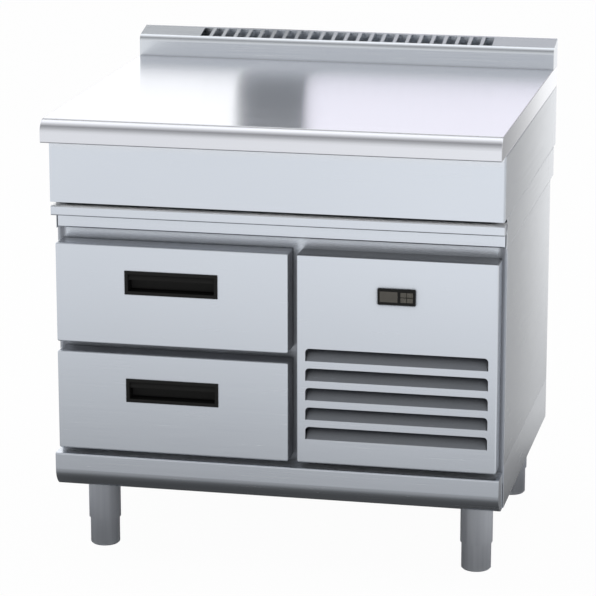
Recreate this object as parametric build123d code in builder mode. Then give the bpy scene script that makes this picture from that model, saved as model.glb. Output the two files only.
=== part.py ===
from build123d import *
import math
import os

os.makedirs("parts", exist_ok=True)

# Refrigerated base with a bench top. X runs to the right, Y to the back and Z up.
# The origin is on the floor, under the middle of the bench top.

# Overall size
overall_width = 900
overall_depth = 812

# Sheet metal and clearances
worktop_gauge = 1.5
gauge = 1.2
fold = 3
gap = 0.3
overrun = 5

# Heights of the stacked units, from the floor up
leg_height = 156
base_height = 86
cabinet_height = 438
band_height = 62
bench_height = 173

# Bench: nosing, apron, sides and stiffeners
nosing_overhang = 55
nosing_height = 45
nosing_radius = 24
apron_inset = 1
apron_return = 6
flange = 20
worktop_lap = 18
worktop_rear_hem = 25
worktop_end_radius = 1.4
stiffener_width = 40
stiffener_drop = 25
stiffener_flange = 15
stiffener_side_gap = 10
stiffener_y_shares = (0.2, 0.5, 0.8)

# Vented upstand
upstand_depth = 62
upstand_front_rise = 43
upstand_back_rise = 58
upstand_bend = 14
upstand_foot = 12
vent_count = 24
vent_pitch = 26.75
vent_width = 19
vent_front_margin = 10
vent_back_margin = 8

# Cabinet body
body_inset = 1
body_back_inset = 63
band_back_inset = 15
face_setback = 51
lip_setback = 5
lip_height = 20
lip_drop = 8.5
lip_return = 25
fascia_setback = 41
fascia_inset = 3.5
fascia_height = 31
frame_depth = 12
wall_return = 14
plinth_proud = 5
plinth_height = 73
plinth_bullnose = 40
plinth_inset = 2
base_frame_height = 50
base_frame_lip = 25

# Drawer fronts and service panel, as they divide the front
front_bottom_clear = 10.5
front_top_clear = 19.5
drawer_split = 19
front_side_margin = 10
panel_gap = 17
panel_width = 395
front_depth = 44
front_edge_radius = 3
front_corner_radius = 4

# Insulated compartment
side_overlap = 30
end_overlap = 16
liner_gauge = 1
rear_insulation = 39
divider_gap = 35
core_inset = 10
core_step = 10
seal_width = 14
seal_inset = 5

# Recessed pull
pull_width = 187.5
pull_height = 48
pull_drop = 50
pull_rim = 5
pull_proud = 1.6
pull_depth = 28
pull_wall = 2
pull_grip_height = 13
pull_grip_setback = 6

# Pan frame and telescopic slides
slide_thickness = 12.7
slide_height = 45
slide_gauge = 1.5
slide_step = 0.4
slide_start = 6
slide_end_clear = 21
pan_frame_height = 90
pan_frame_gauge = 1.5
pan_ledge = 36
pan_end_ledge = 12
pan_frame_corner = 6
pan_frame_lift = 20

# Louvres in the service panel
louvre_count = 5
louvre_side_margin = 17.5
louvre_height = 25.5
louvre_pitch = 39.7
louvre_bottom = 49
louvre_corner = 8
louvre_angle = 32
louvre_end_gap = 2

# Controller
controller_width = 74
controller_height = 32
controller_centre_drop = 75
bezel_proud = 2.5
controller_wall = 1.5
controller_body_depth = 45
window_width = 35
window_height = 21
window_offset = 15.5
window_gauge = 1
key_width = 11.5
key_height = 9.2
key_pitch_x = 12.6
key_pitch_z = 10.6
key_offset = 20
key_proud = 1
key_depth = 3
key_travel_room = 1.2
key_fit = 0.2

# Legs
leg_inset_x = 65
leg_front_y = 186
leg_back_y = 685
leg_radius = 32.5
leg_wall = 2.5
leg_plate_width = 90
leg_plate_thickness = 3
foot_exposed = 57
foot_fit = 0.05
foot_engaged = 45
foot_base_chamfer = 3

# Refrigeration unit
tray_margin = 8
tray_height = 12
tray_front_clear = 12
condenser_side_clear = 16.5
condenser_height = 260
condenser_depth = 50
condenser_front_clear = 38
condenser_plate_thickness = 2
condenser_fin_inset = 14
condenser_bends = 4
condenser_tube_radius = 4.75
condenser_bend_radius = 12
shroud_gauge = 1.5
shroud_ring_depth = 22
shroud_bracket_width = 14
fan_rim_margin = 22
fan_tip_gap = 6
fan_blades = 5
fan_hub_radius = 24
fan_hub_depth = 26
fan_blade_gauge = 2
fan_clear = 4
fan_root_chord = 44
fan_tip_chord = 74
fan_root_angle = 38
fan_tip_angle = 22
fan_shaft_radius = 4
fan_shaft_fit = 0.05
motor_radius = 36
motor_depth = 50
motor_gap = 8
compressor_radius = 76
compressor_height = 205
compressor_seam_width = 4
compressor_dome_radius = 32
compressor_foot_height = 14
compressor_foot_width = 190
compressor_foot_depth = 130
compressor_foot_gauge = 3
compressor_side_clear = 31
compressor_back_clear = 150
mount_radius = 12
terminal_size = 50
line_radius = 4
line_bend_radius = 22
electrical_width = 90
electrical_depth = 130
electrical_height = 120
electrical_top_clear = 24
gland_radius = 11
gland_length = 22
gland_lift = 30
gland_nut_radius = 15
gland_nut_thickness = 6
condensate_side_clear = 50
condensate_depth = 170
condensate_height = 35
condensate_corner_radius = 12

# Evaporator
evaporator_side_clear = 39
evaporator_depth = 26
evaporator_lift = 70
evaporator_top_clear = 89
evaporator_fan_radius = 56
evaporator_fan_depth = 10
evaporator_fan_blades = 5
evaporator_fan_chord = 34
evaporator_hub_radius = 18
evaporator_motor_radius = 24

# Vented rear cover
cover_slot_rows = 9
cover_slot_height = 9
cover_slot_pitch = 22
cover_slot_lift = 40
cover_side_margin = 34
cover_bar_width = 30

# Places that follow from the sizes
half_width = overall_width / 2
front_y = -overall_depth / 2
back_y = overall_depth / 2
apron_y = front_y + nosing_overhang
base_top = leg_height + base_height
cabinet_top_z = base_top + cabinet_height
band_top = cabinet_top_z + band_height
worktop_height = band_top + bench_height
nosing_bottom = worktop_height - nosing_height
upstand_y = back_y - upstand_depth
body_half = half_width - body_inset
skin_half = body_half - gauge
face_y = apron_y + face_setback
body_back = back_y - body_back_inset
band_back = back_y - band_back_inset
fascia_y = apron_y + fascia_setback
lip_y = apron_y + lip_setback
lip_top = band_top - lip_drop
lip_bottom = lip_top - lip_height
fascia_bottom = lip_bottom - fascia_height
base_floor = leg_height + base_frame_height
plinth_top = leg_height + plinth_height

front_bottom = plinth_top + front_bottom_clear
front_top = cabinet_top_z - front_top_clear
drawer_height = (front_top - front_bottom - drawer_split) / 2
panel_x = (half_width - front_side_margin - panel_width, half_width - front_side_margin)
drawer_x = (-half_width + front_side_margin, panel_x[0] - panel_gap)
drawer_bottoms = {"lower": front_bottom, "upper": front_top - drawer_height}
drawer_centre_x = sum(drawer_x) / 2
panel_centre_x = sum(panel_x) / 2
opening_x = (drawer_x[0] + side_overlap, drawer_x[1] - side_overlap)
machine_x = (panel_x[0] + end_overlap, panel_x[1] - end_overlap)
partition_x = sum((drawer_x[1], panel_x[0])) / 2
liner_z = (front_bottom + end_overlap, front_top - end_overlap)
liner_back = body_back - rear_insulation
coil_y = (liner_back - liner_gauge - evaporator_depth, liner_back - liner_gauge)


def block(x, y, z, mode=Mode.ADD):
    """Add or cut a box that runs between two values on each axis."""
    with Locations([tuple((low + high) / 2 for low, high in (x, y, z))]):
        Box(*(high - low for low, high in (x, y, z)), mode=mode)


def both_sides(x):
    """The span from minus x to x."""
    return (-x, x)


def across(x):
    """A plane of Y and Z at the given X, which extrudes to the right."""
    return Plane.YZ.offset(x)


def along(y):
    """A plane of X and Z at the given Y, which extrudes to the front."""
    return Plane.XZ.offset(-y)


def folded(plane, points, radius, thickness):
    """Section of a folded sheet: its outer face follows the points, its body is on their right."""
    with BuildSketch(plane) as section:
        with BuildLine():
            outer = FilletPolyline(*points, radius=radius)
            offset(outer, amount=thickness, side=Side.RIGHT)
        make_face()
    return section.sketch


def rounded(plane, points, radii):
    """Closed outline whose corners have the given radii."""
    with BuildSketch(plane) as shape:
        with BuildLine():
            FilletPolyline(*points, radius=radii, close=True)
        make_face()
    return shape.sketch


def keep(builder, name):
    """Label a finished piece and write it out."""
    builder.part.label = name
    export_step(builder.part, f"parts/{name}.step")


# Worktop: one folded sheet with a rounded nosing, closed by a flange at each end
worktop_back = upstand_y + worktop_lap
worktop_section = folded(
    across(-half_width),
    [
        (apron_y - gap, nosing_bottom),
        (front_y, nosing_bottom),
        (front_y, worktop_height),
        (worktop_back, worktop_height),
        (worktop_back, worktop_height - worktop_rear_hem),
    ],
    [fold, nosing_radius, fold],
    worktop_gauge,
)
with BuildPart() as worktop:
    extrude(worktop_section, amount=overall_width)
    for end_x in (-half_width, half_width - worktop_gauge):
        end_flange = rounded(
            across(end_x),
            [
                (front_y, nosing_bottom),
                (front_y, worktop_height),
                (worktop_back, worktop_height),
                (worktop_back, nosing_bottom),
            ],
            [fold, nosing_radius, 0, 0],
        )
        extrude(end_flange, amount=worktop_gauge)
    end_edges = worktop.edges().filter_by(lambda edge: abs(edge.center().X) > half_width - gap)
    upper_edges = end_edges.filter_by_position(Axis.Z, nosing_bottom + fold, worktop_height)
    fillet(upper_edges.filter_by_position(Axis.Y, front_y, worktop_back - gap), worktop_end_radius)
    for end_x in (-half_width, half_width - worktop_gauge):
        block((end_x, end_x + worktop_gauge), (upstand_y, back_y), (nosing_bottom, worktop_height))
keep(worktop, "worktop")

# Hat channels under the worktop
stiffener_top = worktop_height - worktop_gauge
stiffener_half = stiffener_width / 2
with BuildPart() as worktop_stiffeners:
    for share in stiffener_y_shares:
        centre_y = apron_y + (upstand_y - apron_y) * share
        hat = folded(
            across(-half_width + stiffener_side_gap),
            [
                (centre_y - stiffener_half - stiffener_flange, stiffener_top),
                (centre_y - stiffener_half, stiffener_top),
                (centre_y - stiffener_half, stiffener_top - stiffener_drop),
                (centre_y + stiffener_half, stiffener_top - stiffener_drop),
                (centre_y + stiffener_half, stiffener_top),
                (centre_y + stiffener_half + stiffener_flange, stiffener_top),
            ],
            0,
            gauge,
        )
        extrude(hat, amount=overall_width - 2 * stiffener_side_gap)
keep(worktop_stiffeners, "worktop_stiffeners")

# Upstand: a folded duct with a sloping vented top, standing on a foot that is turned in over the worktop
upstand_front_top = worktop_height + upstand_front_rise
upstand_back_top = worktop_height + upstand_back_rise
upstand_section = folded(
    across(-half_width),
    [
        (upstand_y + upstand_foot, worktop_height),
        (upstand_y, worktop_height),
        (upstand_y, upstand_front_top),
        (back_y, upstand_back_top),
        (back_y, worktop_height),
    ],
    [0, upstand_bend, fold],
    gauge,
)
vent_y = (upstand_y + vent_front_margin, back_y - vent_back_margin)
with BuildPart() as upstand:
    extrude(upstand_section, amount=overall_width)
    for end_x in (-half_width, half_width - gauge):
        end_plate = rounded(
            across(end_x),
            [
                (upstand_y, worktop_height),
                (upstand_y, upstand_front_top),
                (back_y, upstand_back_top),
                (back_y, worktop_height),
            ],
            [0, upstand_bend, fold, 0],
        )
        extrude(end_plate, amount=gauge)
    with BuildSketch(Plane.XY.offset(upstand_back_top + overrun)):
        with Locations((0, sum(vent_y) / 2)):
            with GridLocations(vent_pitch, 0, vent_count, 1):
                Rectangle(vent_width, vent_y[1] - vent_y[0])
    vent_cut_bottom = upstand_front_top - upstand_bend - overrun
    extrude(amount=vent_cut_bottom - upstand_back_top - overrun, mode=Mode.SUBTRACT)
keep(upstand, "upstand")

# Apron under the nosing, with short returns at its ends and a foot along its lower edge
apron_half = half_width - apron_inset
apron_section = folded(
    Plane.XY.offset(band_top),
    [
        (apron_half, apron_y + apron_return),
        (apron_half, apron_y),
        (-apron_half, apron_y),
        (-apron_half, apron_y + apron_return),
    ],
    fold,
    gauge,
)
apron_top = worktop_height - worktop_gauge - gap
apron_foot_half = half_width - flange - gap
with BuildPart() as apron:
    extrude(apron_section, amount=nosing_bottom - gap - band_top)
    apron_foot_y = (apron_y + gauge / 2, apron_y + flange)
    block(both_sides(apron_foot_half), apron_foot_y, (band_top, band_top + gauge))
    block(both_sides(apron_half - fold), (apron_y, apron_y + gauge), (nosing_bottom - overrun, apron_top))
keep(apron, "apron")

# Bench sides: channels that the worktop rests on
bench_top = nosing_bottom - gap
bench_front = apron_y + apron_return + gap
bench_side_section = folded(
    along(back_y),
    [
        (half_width - flange, bench_top),
        (half_width, bench_top),
        (half_width, band_top),
        (half_width - flange, band_top),
    ],
    fold,
    gauge,
)
with BuildPart() as bench_side_right:
    extrude(bench_side_section, amount=back_y - bench_front)
keep(bench_side_right, "bench_side_right")

with BuildPart() as bench_side_left:
    mirror(bench_side_right.part, about=Plane.YZ)
keep(bench_side_left, "bench_side_left")

# Bench rear panel, between the side flanges of the worktop
rear_half = half_width - worktop_gauge - gap
rear_section = folded(
    across(-rear_half),
    [
        (back_y - flange, worktop_height - gap),
        (back_y, worktop_height - gap),
        (back_y, bench_top + fold),
    ],
    fold,
    gauge,
)
lower_rear_half = half_width - flange - gap
skin_y = (back_y - gauge, back_y)
with BuildPart() as bench_rear_panel:
    extrude(rear_section, amount=2 * rear_half)
    block(both_sides(rear_half), skin_y, (bench_top + gap, bench_top + fold))
    block(both_sides(half_width - gauge - gap), skin_y, (band_top + fold, bench_top - fold))
    block(both_sides(lower_rear_half), skin_y, (band_top, bench_top + fold))
    block(both_sides(lower_rear_half), (back_y - flange, back_y), (band_top, band_top + gauge))
keep(bench_rear_panel, "bench_rear_panel")

# Cabinet top: a plate between the bands with a lip that stands out over the front
lip_section = folded(
    across(-body_half),
    [
        (lip_y + lip_return, lip_bottom),
        (lip_y, lip_bottom),
        (lip_y, lip_top),
        (fascia_y - gap, lip_top),
    ],
    fold,
    gauge,
)
plate_back = band_back - gauge - gap
plate_section = folded(
    across(-skin_half + fold),
    [
        (fascia_y - overrun, lip_top),
        (plate_back, lip_top),
        (plate_back, lip_bottom),
    ],
    fold,
    gauge,
)
with BuildPart() as cabinet_top:
    extrude(lip_section, amount=2 * body_half)
    extrude(plate_section, amount=2 * (skin_half - fold))
    for end_x in (-body_half, body_half - gauge):
        lip_end = rounded(
            across(end_x),
            [
                (lip_y + lip_return, lip_bottom),
                (lip_y, lip_bottom),
                (lip_y, lip_top),
                (lip_y + lip_return, lip_top),
            ],
            [0, fold, fold, 0],
        )
        extrude(lip_end, amount=gauge)
keep(cabinet_top, "cabinet_top")

# Fascia under the lip
fascia_section = folded(
    across(-body_half + fascia_inset),
    [
        (face_y - gap, fascia_bottom),
        (fascia_y, fascia_bottom),
        (fascia_y, lip_bottom - gap),
        (face_y - gap, lip_bottom - gap),
    ],
    fold,
    gauge,
)
with BuildPart() as fascia:
    extrude(fascia_section, amount=2 * (body_half - fascia_inset))
keep(fascia, "fascia")

# Band round the sides and back of the cabinet top, which carries the bench
band_path = [
    (-body_half, fascia_y),
    (-body_half, band_back),
    (body_half, band_back),
    (body_half, fascia_y),
]
band_wall = folded(Plane.XY.offset(cabinet_top_z + gap), band_path, fold, gauge)
band_flange = folded(Plane.XY.offset(cabinet_top_z + gap), band_path, fold, flange)
with BuildPart() as top_band:
    extrude(band_wall, amount=band_height - 2 * gap)
    extrude(band_flange, amount=gauge)
    extrude(band_flange.moved(Location((0, 0, band_height - 2 * gap - gauge))), amount=gauge)
    block(
        both_sides(skin_half),
        (fascia_y - overrun, face_y + frame_depth + gap),
        (cabinet_top_z, band_top),
        mode=Mode.SUBTRACT,
    )
keep(top_band, "top_band")

# Outer side panels of the cabinet
side_section = folded(
    Plane.XY.offset(base_top),
    [
        (body_half - wall_return, body_back),
        (body_half, body_back),
        (body_half, face_y),
    ],
    fold,
    gauge,
)
with BuildPart() as side_panel_right:
    extrude(side_section, amount=cabinet_height)
keep(side_panel_right, "side_panel_right")

with BuildPart() as side_panel_left:
    mirror(side_panel_right.part, about=Plane.YZ)
keep(side_panel_left, "side_panel_left")

# Face frame with two drawer openings, the rail between them and the machine opening
frame_half = skin_half - gap
frame_z = (base_floor + gap, lip_top - gauge - gap)
drawer_openings = [
    (bottom + end_overlap, bottom + drawer_height - end_overlap) for bottom in drawer_bottoms.values()
]
frame_holes = [(opening_x, span) for span in drawer_openings]
frame_holes.append((machine_x, (front_bottom + end_overlap, front_top - end_overlap)))
with BuildPart() as face_frame:
    block(both_sides(frame_half), (face_y, face_y + frame_depth), frame_z)
    block(
        both_sides(frame_half - gauge),
        (face_y + gauge, face_y + frame_depth + overrun),
        (frame_z[0] + gauge, frame_z[1] - gauge),
        mode=Mode.SUBTRACT,
    )
    for hole_x, hole_z in frame_holes:
        block(
            (hole_x[0] - gauge, hole_x[1] + gauge),
            (face_y, face_y + frame_depth),
            (hole_z[0] - gauge, hole_z[1] + gauge),
        )
        block(hole_x, (face_y - overrun, face_y + frame_depth + overrun), hole_z, mode=Mode.SUBTRACT)
keep(face_frame, "face_frame")

# Inner liner: a box open to the front
liner_front = face_y + frame_depth + gap
liner_outer_x = (opening_x[0] - liner_gauge, opening_x[1] + liner_gauge)
liner_outer_z = (liner_z[0] - liner_gauge, liner_z[1] + liner_gauge)
with BuildPart() as inner_liner:
    block(liner_outer_x, (liner_front, liner_back), liner_outer_z)
    block(opening_x, (liner_front - overrun, liner_back - liner_gauge), liner_z, mode=Mode.SUBTRACT)
keep(inner_liner, "inner_liner")

# Insulation round the liner
inner_y = (liner_front, body_back - gauge - gap)
with BuildPart() as insulation:
    block((-frame_half, partition_x), inner_y, (base_floor + gap, cabinet_top_z - gap))
    fillet(insulation.edges().filter_by(Axis.Z), fold)
    block(
        (liner_outer_x[0] - gap, liner_outer_x[1] + gap),
        (liner_front - overrun, liner_back + gap),
        (liner_outer_z[0] - gap, liner_outer_z[1] + gap),
        mode=Mode.SUBTRACT,
    )
keep(insulation, "insulation")

# Partition that closes the insulated side towards the machine side
machine_left = partition_x + gap + gauge
with BuildPart() as partition_panel:
    block((partition_x + gap, machine_left), inner_y, (base_floor + gap, frame_z[1]))
keep(partition_panel, "partition_panel")

# Rear skins: a plain one on the cold side and a vented one on the machine side
rear_z = (base_top + gap, cabinet_top_z - gap)
rear_skin_half = body_half - wall_return - gap
with BuildPart() as rear_panel:
    block((-rear_skin_half, partition_x), (body_back - gauge, body_back), rear_z)
keep(rear_panel, "rear_panel")

cover_x = (partition_x + gap, rear_skin_half)
cover_centre_x = sum(cover_x) / 2
slot_z = rear_z[0] + cover_slot_lift + (cover_slot_rows - 1) * cover_slot_pitch / 2
cover_slot_width = (cover_x[1] - cover_x[0] - cover_bar_width) / 2 - cover_side_margin
electrical_x = (machine_left, machine_left + electrical_width)
electrical_y = (body_back - gauge - gap - electrical_depth, body_back - gauge - gap)
electrical_z = (
    cabinet_top_z - electrical_top_clear - electrical_height,
    cabinet_top_z - electrical_top_clear,
)
gland_centre = (sum(electrical_x) / 2, electrical_z[0] + gland_lift)
with BuildPart() as rear_cover:
    block(cover_x, (body_back - gauge, body_back), rear_z)
    with BuildSketch(along(body_back + overrun)):
        with Locations((cover_centre_x, slot_z)):
            with GridLocations(cover_slot_width + cover_bar_width, cover_slot_pitch, 2, cover_slot_rows):
                Rectangle(cover_slot_width, cover_slot_height)
        with Locations(gland_centre):
            Circle(gland_radius + gap)
    extrude(amount=2 * overrun + gauge, mode=Mode.SUBTRACT)
keep(rear_cover, "rear_cover")

# Base frame: a tray turned upside down, with lips for the legs
base_half = skin_half - gap
base_y = (face_y + gap, body_back - gauge - gap)
with BuildPart() as base_frame:
    block(both_sides(base_half), base_y, (leg_height + gauge + gap, base_floor))
    fillet(base_frame.edges().filter_by(Axis.Z), fold)
    block(
        both_sides(base_half - gauge),
        (base_y[0] + gauge, base_y[1] - gauge),
        (leg_height + 2 * gauge + gap, base_floor - gauge),
        mode=Mode.SUBTRACT,
    )
    block(
        both_sides(base_half - leg_inset_x - leg_plate_width),
        (base_y[0] + base_frame_lip, base_y[1] - base_frame_lip),
        (leg_height, base_floor - gauge),
        mode=Mode.SUBTRACT,
    )
keep(base_frame, "base_frame")

# Skirt round the sides and back of the base, turned in under the frame
skirt_path = [
    (-body_half, face_y),
    (-body_half, body_back),
    (body_half, body_back),
    (body_half, face_y),
]
skirt_wall = folded(Plane.XY.offset(leg_height), skirt_path, fold, gauge)
skirt_foot = folded(Plane.XY.offset(leg_height), skirt_path, fold, flange)
with BuildPart() as base_skirt:
    extrude(skirt_wall, amount=base_height - gap)
    extrude(skirt_foot, amount=gauge)
keep(base_skirt, "base_skirt")

# Plinth across the front, with a full rounded lower edge and closed ends
plinth_half = body_half - plinth_inset
plinth_y = apron_y - plinth_proud
plinth_back = face_y - gap
plinth_section = folded(
    across(-plinth_half),
    [
        (plinth_back, leg_height),
        (plinth_y, leg_height),
        (plinth_y, plinth_top),
        (plinth_back, plinth_top),
    ],
    [plinth_bullnose, fold],
    gauge,
)
with BuildPart() as plinth:
    extrude(plinth_section, amount=2 * plinth_half)
    for end_x in (-plinth_half, plinth_half - gauge):
        plinth_end = rounded(
            across(end_x),
            [
                (plinth_back, leg_height),
                (plinth_y, leg_height),
                (plinth_y, plinth_top),
                (plinth_back, plinth_top),
            ],
            [0, plinth_bullnose, fold, 0],
        )
        extrude(plinth_end, amount=gauge)
keep(plinth, "plinth")

# Legs: a tube under a plate, and a foot that screws out of it
leg_x = half_width - leg_inset_x
leg_places = {
    "front_left": (-leg_x, front_y + leg_front_y),
    "front_right": (leg_x, front_y + leg_front_y),
    "back_left": (-leg_x, front_y + leg_back_y),
    "back_right": (leg_x, front_y + leg_back_y),
}
leg_bore = leg_radius - leg_wall
foot_radius = leg_bore - foot_fit
leg_plate_z = leg_height - leg_plate_thickness
with BuildPart() as leg_tubes:
    with BuildSketch(Plane.XY.offset(foot_exposed)):
        with Locations(list(leg_places.values())):
            Circle(leg_radius)
            Circle(leg_bore, mode=Mode.SUBTRACT)
    extrude(amount=leg_plate_z - foot_exposed)
    with BuildSketch(Plane.XY.offset(leg_plate_z)):
        with Locations(list(leg_places.values())):
            Rectangle(leg_plate_width, leg_plate_width)
    extrude(amount=leg_plate_thickness)
keep(leg_tubes, "leg_tubes")

for place, (foot_x, foot_y) in leg_places.items():
    with BuildPart() as foot:
        with BuildSketch():
            with Locations((foot_x, foot_y)):
                Circle(foot_radius)
        extrude(amount=foot_exposed + foot_engaged)
        chamfer(foot.edges().sort_by(Axis.Z)[0], foot_base_chamfer)
    keep(foot, f"foot_{place}")


def front_pan(x, z, depth):
    """A folded front panel, open at the back, with rounded edges and corners."""
    with BuildPart() as pan:
        block(x, (apron_y, apron_y + depth), z)
        fillet(pan.edges().filter_by(Axis.Y), front_corner_radius)
        fillet(pan.faces().sort_by(Axis.Y)[0].edges(), front_edge_radius)
        offset(amount=-gauge, openings=pan.faces().sort_by(Axis.Y)[-1])
    return pan.part


def ring(x, y, z, width):
    """A rectangular ring in the plane of the front, added to the part being built."""
    block(x, y, z)
    block(
        (x[0] + width, x[1] - width),
        (y[0] - overrun, y[1] + overrun),
        (z[0] + width, z[1] - width),
        mode=Mode.SUBTRACT,
    )


def channel(outer_x, inner_x, half_height, centre_z, y, thickness):
    """A slide member: an upright web with a flange along its top and bottom."""
    x = (min(outer_x, inner_x), max(outer_x, inner_x))
    direction = 1 if inner_x > outer_x else -1
    web_inner = outer_x + direction * thickness
    block(x, y, (centre_z - half_height, centre_z + half_height))
    hollow = (min(web_inner, inner_x + direction * overrun), max(web_inner, inner_x + direction * overrun))
    block(
        hollow,
        (y[0] - overrun, y[1] + overrun),
        (centre_z - half_height + thickness, centre_z + half_height - thickness),
        mode=Mode.SUBTRACT,
    )


# Drawers
core_front = apron_y + gauge + gap
core_back = apron_y + front_depth
seal_y = (core_back, face_y - gap)
core_step_y = face_y + core_step
pull_y = apron_y - pull_proud
pull_back = apron_y + pull_depth
slide_y = (core_step_y + slide_start, coil_y[0] - slide_end_clear)
wall_x = {"left": opening_x[0], "right": opening_x[1]}
cabinet_member_half = slide_height / 2
middle_member_half = cabinet_member_half - slide_gauge - slide_step
drawer_member_half = middle_member_half - slide_gauge - slide_step
pan_frame_x = (opening_x[0] + slide_thickness + gap, opening_x[1] - slide_thickness - gap)

for level, bottom in drawer_bottoms.items():
    front_z = (bottom, bottom + drawer_height)
    hole_z = (front_z[0] + end_overlap, front_z[1] - end_overlap)
    pull_x = (drawer_centre_x - pull_width / 2, drawer_centre_x + pull_width / 2)
    pull_z = (front_z[1] - pull_drop - pull_height, front_z[1] - pull_drop)
    cup_x = (pull_x[0] + pull_rim, pull_x[1] - pull_rim)
    cup_z = (pull_z[0] + pull_rim, pull_z[1] - pull_rim)
    slide_z = hole_z[0] + pan_frame_lift + pan_frame_height / 2

    # Outer front: a folded pan with the cut-out for the pull
    with BuildPart() as drawer_front:
        add(front_pan(drawer_x, front_z, front_depth))
        block(
            (cup_x[0] - gap, cup_x[1] + gap),
            (apron_y - overrun, apron_y + gauge + overrun),
            (cup_z[0] - gap, cup_z[1] + gap),
            mode=Mode.SUBTRACT,
        )
    keep(drawer_front, f"drawer_front_{level}")

    # Insulated core: it fills the pan and steps into the opening
    with BuildPart() as drawer_core:
        block(
            (drawer_x[0] + gauge + gap, drawer_x[1] - gauge - gap),
            (core_front, core_back),
            (front_z[0] + gauge + gap, front_z[1] - gauge - gap),
        )
        fillet(drawer_core.edges().filter_by(Axis.Y), front_corner_radius)
        fillet(drawer_core.faces().sort_by(Axis.Y)[0].edges(), front_edge_radius)
        block(
            (opening_x[0] + core_inset, opening_x[1] - core_inset),
            (core_back, core_step_y),
            (hole_z[0] + core_inset, hole_z[1] - core_inset),
        )
        block(
            (cup_x[0] - gap, cup_x[1] + gap),
            (apron_y - overrun, pull_back + gap),
            (cup_z[0] - gap, cup_z[1] + gap),
            mode=Mode.SUBTRACT,
        )
    keep(drawer_core, f"drawer_core_{level}")

    # Pull: a rim round a cup, with a grip that hangs inside its upper edge
    grip_section = [
        (pull_y + pull_grip_setback, cup_z[1]),
        (pull_y, cup_z[1] - pull_grip_height),
        (pull_y + pull_wall, cup_z[1] - pull_grip_height),
        (pull_y + pull_grip_setback + pull_wall, cup_z[1]),
    ]
    with BuildPart() as drawer_pull:
        block(pull_x, (pull_y, apron_y), pull_z)
        block(cup_x, (apron_y, pull_back), cup_z)
        block(
            (cup_x[0] + pull_wall, cup_x[1] - pull_wall),
            (pull_y - overrun, pull_back - pull_wall),
            (cup_z[0] + pull_wall, cup_z[1] - pull_wall),
            mode=Mode.SUBTRACT,
        )
        with BuildSketch(across(cup_x[0])):
            with BuildLine():
                Polyline(*grip_section, close=True)
            make_face()
        extrude(amount=cup_x[1] - cup_x[0])
    keep(drawer_pull, f"drawer_pull_{level}")

    # Magnetic gasket round the back of the front
    with BuildPart() as drawer_gasket:
        ring(
            (drawer_x[0] + seal_inset, drawer_x[1] - seal_inset),
            seal_y,
            (front_z[0] + seal_inset, front_z[1] - seal_inset),
            seal_width,
        )
    keep(drawer_gasket, f"drawer_gasket_{level}")

    # Pan frame: four walls with a ledge that a food pan hangs on
    pan_y = (core_step_y, slide_y[1])
    pan_z = (slide_z - pan_frame_height / 2, slide_z + pan_frame_height / 2)
    with BuildPart() as pan_frame:
        block(pan_frame_x, pan_y, pan_z)
        fillet(pan_frame.edges().filter_by(Axis.Z), pan_frame_corner)
        offset(amount=-pan_frame_gauge, openings=pan_frame.faces().sort_by(Axis.Z)[0])
        with BuildSketch(Plane.XY.offset(pan_z[1] + overrun)):
            with Locations((drawer_centre_x, sum(pan_y) / 2)):
                RectangleRounded(
                    pan_frame_x[1] - pan_frame_x[0] - 2 * pan_ledge,
                    pan_y[1] - pan_y[0] - 2 * pan_end_ledge,
                    2 * pan_frame_corner,
                )
        extrude(amount=-2 * overrun, mode=Mode.SUBTRACT)
    keep(pan_frame, f"pan_frame_{level}")

    # Telescopic slides: a member on the cabinet, one on the drawer and one between them
    with BuildPart() as slide_cabinet:
        for side, direction in (("left", 1), ("right", -1)):
            wall = wall_x[side]
            open_x = wall + direction * (slide_thickness - 2 * slide_gauge)
            channel(wall, open_x, cabinet_member_half, slide_z, slide_y, slide_gauge)
    keep(slide_cabinet, f"slide_cabinet_{level}")

    with BuildPart() as slide_middle:
        for side, direction in (("left", 1), ("right", -1)):
            web = wall_x[side] + direction * (slide_gauge + slide_step)
            open_x = wall_x[side] + direction * (slide_thickness - slide_gauge)
            channel(web, open_x, middle_member_half, slide_z, slide_y, slide_gauge)
    keep(slide_middle, f"slide_middle_{level}")

    with BuildPart() as slide_drawer:
        for side, direction in (("left", 1), ("right", -1)):
            web = wall_x[side] + direction * (slide_thickness + gap)
            open_x = wall_x[side] + direction * 2 * (slide_gauge + slide_step)
            channel(web, open_x, drawer_member_half, slide_z, slide_y, slide_gauge)
    keep(slide_drawer, f"slide_drawer_{level}")

# Service panel: a folded pan with louvres pressed inwards and a window for the controller
controller_centre = (panel_centre_x, front_top - controller_centre_drop)
controller_body_half = controller_width / 2 - controller_wall
controller_body_rise = controller_height / 2 - controller_wall
louvre_lean = math.radians(louvre_angle)
louvre_reach = (louvre_height * math.sin(louvre_lean), louvre_height * math.cos(louvre_lean))
louvre_bottoms = [front_bottom + louvre_bottom + louvre_pitch * row for row in range(louvre_count)]
louvre_half = panel_width / 2 - louvre_side_margin
tongue_half = louvre_half - louvre_end_gap


def arched(half, low, high):
    """Outline in the plane of the panel, square below and rounded at its two upper corners."""
    return rounded(
        along(front_y),
        [
            (panel_centre_x - half, low),
            (panel_centre_x + half, low),
            (panel_centre_x + half, high),
            (panel_centre_x - half, high),
        ],
        [0, 0, louvre_corner, louvre_corner],
    )


with BuildPart() as tongue:
    extrude(
        folded(
            across(panel_centre_x - tongue_half),
            [
                (apron_y, louvre_bottoms[0] - fold),
                (apron_y, louvre_bottoms[0]),
                (apron_y + louvre_reach[0], louvre_bottoms[0] + louvre_reach[1]),
            ],
            fold,
            gauge,
        ),
        amount=2 * tongue_half,
    )
    extrude(
        arched(tongue_half, louvre_bottoms[0] - fold, louvre_bottoms[0] + louvre_reach[1]),
        amount=-overall_depth,
        mode=Mode.INTERSECT,
    )

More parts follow.
